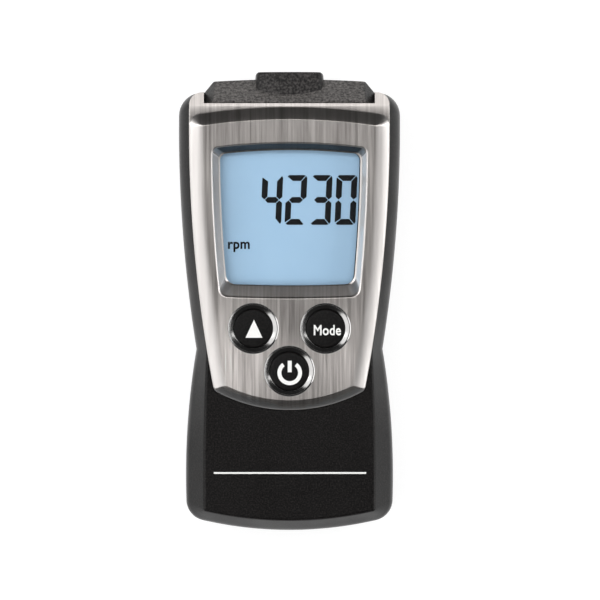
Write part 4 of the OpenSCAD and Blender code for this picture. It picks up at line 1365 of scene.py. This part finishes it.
@dataclass(frozen=True)
class FacePlate:
    """Drawn metal plate: crowned bevels, the plateau and the funnel down to the window."""

    lip_z: float = 23.75
    side_w: float = 3.2
    low_w: float = 2.1
    top_w: float = 2.75
    sheet: float = 0.8
    turn: float = 0.55
    low_slope: float = 0.29
    top_round: float = 0.22
    edge: float = 0.14
    brow: float = 0.3
    fall: float = 0.12
    ledge: float = 0.28
    foot: Spot = (1.5, 2.6, 1.4)
    foot_z: float = 22.5
    wall_in: Spot = (1.6, 2.6, 1.4)
    wall: tuple[Point, ...] = ((0.8, 22.5), (2.4, 24.35))
    flange_top: float = 0.3

    def crowned(self) -> list[Ring]:
        """Gives the outside, from the seat over the rounded edge and the crowned bevels to the plateau.

        Returns:
            The rings from below to above.
        """
        made = [level(PLAN.raised(0, 0, 0), z) for z in (PLAN.front_z - 0.6, self.lip_z - self.edge)]
        for angle in (14, 28, 42, 56):
            a = math.radians(angle)
            inset = self.edge * (1 - math.cos(a))
            z = self.lip_z - self.edge * (1 - math.sin(a))
            made.append(level(PLAN.raised(inset, inset, inset), z))
        rise = PLAN.plateau_z - self.lip_z
        steps = 22
        for k in range(1, steps + 1):
            up = 1 - (1 - k / steps) ** 2
            side = self.side_w * k / steps
            low = self.low_w - self.fall_off(rise * (1 - up))
            top = self.top_w * ((1 - self.top_round) * up + self.top_round * k / steps)
            made.append(level(PLAN.raised(side, low, top), self.lip_z + rise * up))
        return made

    def fall_off(self, drop: float) -> float:
        """Says how far below the plateau's lower edge its bevel has dropped by a height."""
        curve = (PLAN.plateau_z - self.lip_z - self.low_slope * self.low_w) / self.low_w**2
        return (math.sqrt(self.low_slope**2 + 4 * curve * drop) - self.low_slope) / (2 * curve)

    def funnel(self) -> Piece:
        """Builds the funnel that is cut out, with a rounded brow and a ledge at its foot.

        Returns:
            The solid.
        """
        rest = [inset - self.ledge for inset in self.foot]
        rest_z = self.foot_z + 0.2
        rows = ((self.foot, self.foot_z - 0.6), (self.foot, self.foot_z + 0.12), (rest, rest_z))
        rings = [level(aside(PLAN.recess(*insets), PLAN.window_shift), z) for insets, z in rows]
        for k in range(7):
            t = k / 6
            back, drop = self.brow * t * t, self.brow * (1 - t) ** 2
            share = drop / (PLAN.plateau_z - rest_z)
            rings.append(level(PLAN.recess(*[inset * share - back for inset in rest]), PLAN.plateau_z - drop))
        rings.append(level(PLAN.recess(-self.brow, -self.brow, -self.brow), PLAN.plateau_z + 0.5))
        return loft("funnel", rings)

    def under(self) -> Piece:
        """Builds the space under the plateau.

        Returns:
            The solid that is cut out.
        """
        thick = self.sheet
        rings = [level(PLAN.raised(thick, thick, thick), z) for z in (PLAN.seat_z - 1, self.lip_z - 0.45)]
        insets = [w + self.turn for w in (self.side_w, self.low_w, self.top_w)]
        return loft("under", [*rings, level(PLAN.raised(*insets), PLAN.plateau_z - thick)])

    def flange(self) -> Piece:
        """Builds the flat edge of the sheet, which lies on the shell.

        Returns:
            The solid.
        """
        front = PLAN.front_z
        rows = ((0, PLAN.seat_z), (0, front - 0.12), (0.04, front - 0.03), (0.12, front))
        top_y = PLAN.top_y - self.flange_top
        rings = [level(PLAN.plate(i, i, i, top_y, PLAN.top_bow_r), z) for i, z in rows]
        flange = cut(loft("flange", rings), notch(20))
        slice_off(flange, (0, PLAN.raised_top_y + 0.1, front), Vector((0, self.fall, 1)))
        return flange

    def build(self) -> None:
        """Builds and dresses the plate."""
        plate = add(loft("face_plate_sheet", self.crowned()), self.flange())
        cut(plate, self.under())
        wall = [level(PLAN.recess(*[inset - out for inset in self.wall_in]), z) for out, z in self.wall]
        add(plate, loft("wall", wall))
        cut(plate, self.funnel())
        cut(plate, *[post("hole", at, PLAN.guide_r, 21, 26, 96) for at in PLAN.keys])
        flat_map(smooth(plate))
        hand_over(plate, Finish.PLATE, stands_for=["face_plate"])


@dataclass(frozen=True)
class SensorHead:
    """Grained head with its sloping front, its nose and the lens."""

    half: float = 17.6
    back_y: float = 41.0
    end_y: float = 46.1
    low_z: float = 2.5
    top_z: float = 23.2
    slope_z: float = 18.1
    corner_w: float = 1.9
    corner_l: float = 2.3
    corner_rise: float = 2.0
    lip: float = 0.45
    bow: float = 0.5
    axis_z: float = 12.2
    draft: float = 0.55
    soft: float = 0.45
    edge_w: float = 0.32
    edge_angle: float = 25.0
    flange: tuple[Spot, Spot] = ((-18.3, 39.5, 4.3), (18.3, 41.1, 20.5))
    bore_r: float = 4.6
    tube_r: float = 7.05
    tube_end_y: float = 42.11
    lens_r: float = 5.5
    lens_edge: float = 1.0
    lens_sag: float = 0.8
    lens_soft: float = 0.08
    seat_y: float = 45.3

    def plan(self) -> list[Point]:
        """Gives the plan of the block in front of its flange.

        Returns:
            The points of the plan.
        """
        flat = self.half - self.corner_w
        r = (flat**2 + self.bow**2) / (2 * self.bow)
        span = math.degrees(math.asin(flat / r))
        face = Circle(0, self.end_y - r, r)
        side_y = self.end_y - self.bow - self.corner_l
        arc = [face.at(90 - span + 2 * span * k / 16) for k in range(17)]
        low = [(-self.half, self.back_y), (self.half, self.back_y)]
        return [*low, (self.half, side_y), *arc, (-self.half, side_y)]

    def build(self) -> None:
        """Builds and dresses the head, its nose and its lens."""
        head = prism("sensor_head_moulding", self.plan(), self.low_z, self.top_z)
        drop, length = self.top_z - self.slope_z, self.end_y - self.back_y
        slice_off(head, (0, self.end_y, self.slope_z), Vector((0, drop, length - self.lip)))
        corner = Vector((self.corner_l, self.corner_w, 0)).normalized()
        for side in (-1, 1):
            out = Vector((side * corner.x * drop, corner.y * drop, length / self.corner_rise))
            slice_off(head, (side * self.half, self.end_y - self.bow - self.corner_l, self.slope_z), out)
        slice_off(head, (0, self.end_y, self.low_z + self.corner_l / 2), Vector((0, 1, -1)))
        soften(head, self.edge_w, self.edge_angle)
        add(head, block("flange", *self.flange))
        for r, end_y in ((self.bore_r, 48), (self.tube_r, self.tube_end_y)):
            cut(head, rod("bore", self.axis_z, r, 39, end_y))
        hand_over(smooth(head), Finish.HEAD, stands_for=["sensor_head"])
        self.nose()
        self.lens()

    def nose(self) -> None:
        """Builds and dresses the nose, with a rounded front edge and the lens seat."""
        soft, length = self.soft, PLAN.nose_y - self.back_y
        rows = [(self.draft * k / 6 * (1 - soft / length), (length - soft) * k / 6) for k in range(7)]
        rows += [(self.draft + soft * (1 - c), length - soft + soft * s) for s, c in quarter(6, 1)]
        rings = [[(x, self.back_y + y, self.axis_z + z) for x, z in PLAN.nose(inset)] for inset, y in rows]
        seat = [(0, -6.5), (self.bore_r, -6.5), (self.bore_r, 0), (5.55, 0)]
        seat += [(5.55, 1.9), (5.85, 2.25), (5.85, 3), (0, 3)]
        nose = cut(loft("nose_moulding", rings), spun("seat", seat, (0, self.seat_y, self.axis_z), "Y"))
        hand_over(smooth(nose), Finish.NOSE)

    def lens(self) -> None:
        """Builds and dresses the convex lens."""
        sag, edge, soft = self.lens_sag, self.lens_edge, self.lens_soft
        ball = (self.lens_r**2 + sag**2) / (2 * sag)
        profile = [(0, 0), (self.lens_r - soft, 0), (self.lens_r, soft), (self.lens_r, edge - soft)]
        for k in range(13):
            r = (self.lens_r - soft) * (1 - k / 12)
            profile.append((r, edge + sag - ball + math.sqrt(ball**2 - r**2)))
        glass = spun("lens_glass", profile, (0, self.seat_y, self.axis_z), "Y")
        hand_over(smooth(glass), Finish.LENS, stands_for=["head_lens"])


@dataclass(frozen=True)
class Display:
    """Pane, segments and the unit on the display glass."""

    glass_z: float = 20.3
    ink: float = 0.03
    pane_z: float = 21.2
    pane_top: float = 22.4
    pane_soft: float = 0.12
    low: float = 15.9
    high: float = 26.2
    width: float = 4.3
    stroke: float = 1.22
    slant: float = 0.045
    gap: float = 0.09
    lefts: tuple[float, ...] = (-5.8, -0.8, 4.4, 9.55)
    lit: tuple[str, ...] = ("fgbc", "abged", "abgcd", "abcdef")
    unit_at: Point = (-12.7, 11.0)
    unit_size: Point = (4.5, 2.15)
    unit_bold: float = 0.028
    pane_in: Spot = (0.7, 1.7, 0.5)

    def segments(self) -> dict[str, list[Point]]:
        """Gives the corners of the seven segments of one upright digit, from its lower left corner.

        Returns:
            The corners by segment letter.
        """
        w, h, s, g = self.width, self.high - self.low, self.stroke, self.gap
        m, bar = h / 2, s * 0.5
        inner, outer = s + g, w - s - g
        return {
            "a": [(g + s * 0.1, h - s * 0.25), (s * 0.45, h), (w - s * 0.6, h), (w - s * 0.3, h - s * 0.1),
                  (outer, h - s), (inner, h - s)],
            "g": [(bar + g, m), (inner, m + bar), (outer, m + bar), (w - bar - g, m), (outer, m - bar),
                  (inner, m - bar)],
            "d": [(g + s * 0.1, s * 0.25), (inner, s), (outer, s), (w - s * 0.3, s * 0.1), (w - s * 0.6, 0),
                  (s * 0.45, 0)],
            "f": [(0, h - s * 0.5), (s * 0.1, h - s * 0.45), (s, h - s - g), (s, m + bar + g), (bar, m + g),
                  (0, m + bar)],
            "e": [(0, m - bar), (bar, m - g), (s, m - bar - g), (s, inner), (s * 0.1, s * 0.45),
                  (0, s * 0.5)],
            "b": [(w, h - s * 0.5), (w, m + bar), (w - bar, m + g), (w - s, m + bar + g), (w - s, h - s - g),
                  (w - s * 0.2, h - s * 0.15)],
            "c": [(w, m - bar), (w, s * 0.5), (w - s * 0.2, s * 0.15), (w - s, inner), (w - s, m - bar - g),
                  (w - bar, m - g)],
        }

    def digits(self) -> None:
        """Builds and dresses the four digits."""
        shapes = self.segments()
        parts = []
        for left, letters in zip(self.lefts, self.lit):
            for letter in letters:
                corners = [(left + x + self.slant * (y - 5), self.low + y) for x, y in shapes[letter]]
                parts.append(prism("segment", corners, self.glass_z, self.glass_z + self.ink))
        hand_over(smooth(joined("display_digits", parts)), Finish.SEGMENT)

    def build(self) -> None:
        """Builds and dresses the pane, the digits and the unit."""
        self.digits()
        unit_at = (*self.unit_at, self.glass_z)
        unit = lettering("display_unit", "rpm", unit_at, self.unit_size, self.ink, self.unit_bold)
        hand_over(unit, Finish.SEGMENT)
        soft, low, top = self.pane_soft, self.pane_z, self.pane_top
        rows = ((soft, low), (0, low + soft), (0, top - soft), (soft, top))
        rings = [level(PLAN.recess(*[inset + i for inset in self.pane_in]), z) for i, z in rows]
        hand_over(smooth(loft("display_pane_clear", rings)), Finish.PANE, stands_for=["display_pane"])


@dataclass(frozen=True)
class KeySet:
    """The three keys: polished dished rings, matt caps and their white marks."""

    names: tuple[str, ...] = ("up", "mode", "power")
    ring_r: float = 5.25
    rim_w: float = 0.24
    rim_z: float = 24.93
    dish_h: float = 0.8
    dish_tilt: float = 21.0
    dish_low: float = 0.08
    dish_turn: float = 0.22
    dish_bend: Point = (0.94, 0.12)
    dish_foot: float = 0.02
    crest_w: float = 0.03
    crest_drop: float = 0.005
    hole_r: float = 4.1
    barrel_r: float = 5.0
    cap_r: float = 4.0
    cap_z: float = 24.4
    flange_r: float = 4.7
    flange_z: float = 19.6
    flange_top: float = 20.5
    flange_soft: float = 0.1
    soft: float = 0.35
    ink: float = 0.02
    sunk: float = 0.01
    smooth_below: float = 35.0
    triangle_at: Point = (0.15, -0.3)
    triangle: Spot = (1.74, 1.62, 2.1)
    power_at: Point = (0.07, -0.35)
    power_r: Point = (2.54, 1.72)
    power_gap: float = 37.0
    power_bar: Spot = (0.41, 0.12, 2.5)
    word_at: Point = (-2.42, -1.34)
    word_size: Point = (5.6, 2.18)
    word_bold: float = 0.02

    def ring_profile(self) -> list[Point]:
        """Gives the profile of a ring: a concave dish inside a thin rounded rim.

        Returns:
            Pairs of radius and height.
        """
        hole, crest, foot = self.hole_r, self.ring_r - self.rim_w, self.rim_z - self.dish_h
        steep = math.tan(math.radians(self.dish_tilt))
        start, more = self.dish_bend
        made = [(hole, foot), (hole + self.dish_low, foot + self.dish_foot)]
        for k in range(1, 9):
            r = hole + self.dish_low + (crest - self.dish_turn - hole) * k / 8
            made.append((r, foot + (r - hole) * steep * (start + more * k / 8)))
        last_r, last_z = made[-1]
        for s, c in quarter(6, 1):
            made.append((last_r + (crest - last_r) * s, self.rim_z - (self.rim_z - last_z) * c))
        made += [(crest + self.crest_w, self.rim_z - self.crest_drop), (self.ring_r, PLAN.plateau_z)]
        made += [(self.barrel_r, PLAN.plateau_z), (self.barrel_r, PLAN.ceiling_z), (hole, PLAN.ceiling_z)]
        return made

    def cap_profile(self) -> list[Point]:
        """Gives the profile of a cap, with a softened edge.

        Returns:
            Pairs of radius and height.
        """
        wide, low, high, edge = self.flange_r, self.flange_z, self.flange_top, self.flange_soft
        made = [(0, low), (wide - edge, low), (wide, low + edge)]
        made += [(wide, high - edge), (wide - edge, high), (self.cap_r, high)]
        for s, c in quarter(6):
            made.append((self.cap_r - self.soft * (1 - c), self.cap_z - self.soft * (1 - s)))
        return [*made, (0, self.cap_z)]

    def marks(self) -> dict[str, list[Piece]]:
        """Builds the white marks on the caps.

        Returns:
            The pieces of each mark by key.
        """
        up, mode, power = PLAN.keys
        foot, top = self.cap_z - self.sunk, self.cap_z + self.ink
        x, y = up[0] + self.triangle_at[0], up[1] + self.triangle_at[1]
        half, low, high = self.triangle
        triangle = prism("mark_up", [(x - half, y - low), (x + half, y - low), (x, y + high)], foot, top)
        x, y = power[0] + self.power_at[0], power[1] + self.power_at[1]
        gap, steps = self.power_gap, 36
        angles = [90 + gap + (360 - 2 * gap) * k / steps for k in range(steps + 1)]
        outer, inner = (Circle(x, y, r) for r in self.power_r)
        bend = prism("mark_power", [*map(outer.at, angles), *map(inner.at, reversed(angles))], foot, top)
        half, low, high = self.power_bar
        bar = prism("mark_bar", rectangle(x - half, x + half, y + low, y + high), foot, top)
        at = (mode[0] + self.word_at[0], mode[1] + self.word_at[1], foot)
        word = lettering("mark_mode", "Mode", at, self.word_size, self.ink + self.sunk, self.word_bold)
        return {"up": [triangle], "mode": [word], "power": [bend, bar]}

    def build(self) -> None:
        """Builds and dresses rings, caps and marks."""
        ring = smooth(spun("key_ring_polished", self.ring_profile(), steps=128), self.smooth_below)
        cap = smooth(spun("key_cap_matt", self.cap_profile()), self.smooth_below)
        for name, at in zip(self.names, PLAN.keys):
            hand_over(copied(ring, f"{ring.name}_{name}", at), Finish.RING, stands_for=["key_ring_" + name])
            hand_over(copied(cap, f"{cap.name}_{name}", at), Finish.CAP, name + "_key", ["key_" + name])
        bpy.data.objects.remove(ring)
        bpy.data.objects.remove(cap)
        for name, pieces in self.marks().items():
            for piece in pieces:
                hand_over(smooth(piece), Finish.MARK, name + "_key")


@dataclass(frozen=True)
class Screws:
    """The four shell screws, with cross recesses in their heads."""

    head_r: float = 1.95
    head_z: float = 2.8
    neck_z: float = 4.4
    shank_r: float = 1.05
    core_r: float = 0.89
    top_z: float = 18.8
    turns: int = 18
    pitch: float = 0.7
    slit: Point = (1.05, 0.22)
    slit_deep: float = 0.9
    slit_angles: Point = (20.0, 110.0)

    def profile(self) -> list[Point]:
        """Gives the profile of a screw, from its head up through the thread to its tip.

        Returns:
            Pairs of radius and height.
        """
        z, r = self.head_z, self.head_r
        made = [(0, z), (r - 0.5, z), (r - 0.2, z + 0.1), (r - 0.05, z + 0.3), (r, z + 0.5)]
        made += [(r, self.neck_z), (self.shank_r, self.neck_z)]
        for k in range(self.turns):
            z = self.neck_z + 0.6 + k * self.pitch
            made += [(self.shank_r, z), (self.core_r, z + 0.2), (self.core_r, z + 0.4)]
        return [*made, (self.shank_r * 0.6, self.top_z), (0, self.top_z)]

    def build(self) -> None:
        """Builds one screw, copies it to its places and dresses the set."""
        screw = spun("screw", self.profile(), steps=32)
        x, y = self.slit
        for angle in self.slit_angles:
            slit = block("slit", (-x, -y, self.head_z - 1), (x, y, self.head_z + self.slit_deep))
            slit.data.transform(Matrix.Rotation(math.radians(angle), 4, "Z"))
            cut(screw, slit)
        pieces = [copied(screw, "screw", at) for at in mirrored(PLAN.screws)]
        bpy.data.objects.remove(screw)
        hand_over(smooth(joined("shell_screws_steel", pieces), 35), Finish.SCREW, stands_for=["shell_screws"])


@dataclass(frozen=True)
class Cells:
    """The two cells: steel cans with a pip, in jackets whose ends are folded in."""

    places: tuple[tuple[str, float, float, int], ...] = (
        ("left", -5.5, -41.525, 1),
        ("right", 5.5, -0.225, -1),
    )
    axis_z: float = 7.45
    radius: float = 5.25
    can_r: float = 4.9
    shoulder: float = 43.7
    length: float = 44.5
    pip_r: float = 1.9

    def can(self) -> list[Point]:
        """Gives the profile of the can, from its flat foot to the pip.

        Returns:
            Pairs of radius and height.
        """
        r, top, pip = self.can_r, self.shoulder - 0.15, self.pip_r
        foot = [(0, 0.02), (r - 0.6, 0.02), (r - 0.2, 0.1), (r, 0.35)]
        head = [(r, top - 0.4), (r - 0.2, top - 0.1), (r - 0.6, top), (pip + 0.5, top)]
        end = self.length
        tip = [(pip + 0.1, top + 0.15), (pip, end - 0.25), (pip - 0.25, end), (0, end)]
        return foot + head + tip

    def jacket(self) -> list[Point]:
        """Gives the profile of the jacket, round its wall.

        Returns:
            Pairs of radius and height.
        """
        r, top, inner = self.radius, self.shoulder, self.can_r + 0.02
        outside = [(r - 0.75, 0), (r - 0.25, 0), (r - 0.05, 0.12), (r, 0.35), (r, top - 0.35)]
        folded = [(r - 0.05, top - 0.12), (r - 0.25, top), (r - 1.3, top), (r - 1.3, top - 0.12)]
        folded.append((inner - 0.3, top - 0.12))
        return outside + folded + [(inner, top - 0.4), (inner, 0.4), (inner - 0.25, 0.1), (r - 0.75, 0.015)]

    def build(self) -> None:
        """Builds and dresses both cells, the right one with its pip down."""
        kinds = (("can", self.can(), Finish.PLATED), ("jacket", self.jacket(), Finish.JACKET))
        for side, x, y, way in self.places:
            for kind, profile, finish in kinds:
                lengthwise = [(r, way * h) for r, h in profile]
                piece = spun(f"cell_{kind}_{side}", lengthwise, (x, y, self.axis_z), along="Y", steps=64)
                stands_for = [f"cell_{side}"] if kind == "jacket" else []
                hand_over(smooth(piece, 35), finish, stands_for=stands_for)


INSIDE = {
    Finish.INNER: ("optic_tube", "processor", "switch_bodies"),
    Finish.EMITTER: ("light_emitter",),
    Finish.RECEIVER: ("light_receiver",),
    Finish.BOARD: ("sensor_board", "main_board"),
    Finish.PLATED: ("board_link", "crystal", "contact_springs", "contact_plates"),
    Finish.FOAM: ("display_seal",),
    Finish.DISPLAY: ("display_glass",),
    Finish.LIGHT_GUIDE: ("backlight",),
    Finish.WHITE: ("display_frame", "plunger_up", "plunger_mode", "plunger_power"),
    Finish.RUBBER: ("contact_strips",),
    Finish.SCREW: ("board_screws",),
}


def dress_inside() -> None:
    """Gives every solid that stays in view its finish."""
    for finish, names in INSIDE.items():
        for name in names:
            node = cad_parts[name]
            for place in node.material_slots:
                place.material = finish.material()
            if not node.material_slots:
                node.data.materials.append(finish.material())
            LOG.info("%s dressed", name)


@dataclass(frozen=True)
class Studio:
    """Pale floor, soft lights on both sides and the camera of the photograph."""

    scale: float = 0.12432
    distance: float = 1.2
    sensor: float = 36.0
    aim: Point = (0.00219, 0.00036)
    focus_z: float = 0.018
    near: float = 0.01
    lamp_aim: Spot = (0, 0, 0.02)
    floor_size: float = 6.0
    floor_glow: float = 1.2
    floor_share: float = 0.7
    horizon: Point = (0.05, 0.5)
    low_sky: float = 0.9
    high_sky: float = 0.03
    lamps: tuple[tuple[str, Spot, Point, float, bool], ...] = (
        ("left_light", (-0.78, 0, 0.72), (1.2, 0.8), 6.4, True),
        ("right_light", (0.95, 0, 0.5), (1.0, 0.5), 5.2, True),
        ("head_light", (0, 0.30, 1.18), (2.2, 0.2), 3.6, True),
        ("fill_light", (0, 0, 1.4), (1.4, 1.4), 10.8, False),
    )

    def floor(self) -> None:
        """Lays the floor, which is white to the camera, keeps the shadow and is clear from below."""
        bpy.ops.object.select_all(action="DESELECT")
        bpy.ops.mesh.primitive_plane_add(size=self.floor_size, location=(0, 0, -0.00002))
        plane = named("floor")
        recipe = Recipe("studio_floor")
        glow = recipe.fed(recipe.node("Emission"), Color=(1, 1, 1), Strength=self.floor_glow)
        rays = recipe.node("LightPath").outputs
        seen = recipe.reckoned("MAXIMUM", rays["Is Camera Ray"], rays["Is Glossy Ray"])
        seen = recipe.reckoned("MAXIMUM", seen, rays["Is Transmission Ray"])
        share = recipe.reckoned("MULTIPLY", seen, self.floor_share)
        above = recipe.mixed(share, recipe.shader.outputs[0], glow.outputs[0])
        behind = recipe.node("NewGeometry").outputs["Backfacing"]
        surface = recipe.mixed(behind, above, recipe.node("BsdfTransparent").outputs[0])
        recipe.join(surface, recipe.tree.nodes["Material Output"].inputs["Surface"])
        plane.data.materials.append(
            recipe.shade(Base_Color=(0.8, 0.8, 0.8), Roughness=0.7, Specular_IOR_Level=0.1)
        )

    def sky(self) -> None:
        """Sets the world: a dim room that is white to the camera and pale near the floor."""
        world = bpy.data.worlds.new("studio_room")
        bpy.context.scene.world = world
        world.use_nodes = True
        world.node_tree.nodes.clear()
        room = Tree(world.node_tree)
        upward = room.part(room.node("TexCoord").outputs["Generated"], "Z")
        strength = room.spread(upward, self.low_sky, self.high_sky, *self.horizon)
        strength.node.interpolation_type = "SMOOTHSTEP"
        dim = room.fed(room.node("Background"), Color=(1, 1, 1), Strength=strength)
        white = room.fed(room.node("Background"), Color=(1, 1, 1))
        seen = room.node("LightPath").outputs["Is Camera Ray"]
        surface = room.mixed(seen, dim.outputs[0], white.outputs[0])
        room.join(surface, room.node("OutputWorld").inputs["Surface"])

    def lamp(self, name: str, at: Spot, size: Point, power: float, shown: bool) -> None:
        """Hangs a soft light that faces the meter.

        Args:
            name: Name of the light.
            at: Its place in metres.
            size: Its width and height in metres.
            power: Its power in watts.
            shown: Whether glossy surfaces show it.
        """
        data = bpy.data.lights.new(name, "AREA")
        data.shape = "RECTANGLE"
        data.size, data.size_y = size
        data.energy = power
        lamp = bpy.data.objects.new(name, data)
        bpy.context.scene.collection.objects.link(lamp)
        lamp.location = at
        lamp.visible_camera = False
        lamp.visible_glossy = shown
        lamp.rotation_euler = (Vector(self.lamp_aim) - Vector(at)).to_track_quat("-Z", "Y").to_euler()

    def camera(self) -> None:
        """Sets up the camera straight above the meter."""
        data = bpy.data.cameras.new("camera")
        data.sensor_width = self.sensor
        data.lens = self.sensor * self.distance / self.scale
        data.clip_start = self.near
        camera = bpy.data.objects.new("camera", data)
        bpy.context.scene.collection.objects.link(camera)
        camera.location = (*self.aim, self.focus_z + self.distance)
        bpy.context.scene.camera = camera

    def build(self) -> None:
        """Sets up the whole studio."""
        self.floor()
        self.sky()
        for lamp in self.lamps:
            self.lamp(*lamp)
        self.camera()
        bpy.context.scene.view_settings.view_transform = "Standard"


def main() -> None:
    """Builds the meter piece by piece and sets it in the studio."""
    logging.basicConfig(level=logging.INFO, format="%(name)s: %(message)s")
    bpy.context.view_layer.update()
    FrontShell().build()
    rear = RearShell()
    rear.build()
    Cover().build(rear.outside)
    FacePlate().build()
    SensorHead().build()
    Display().build()
    KeySet().build()
    Screws().build()
    Cells().build()
    dress_inside()
    Studio().build()


if __name__ == "__main__":
    main()
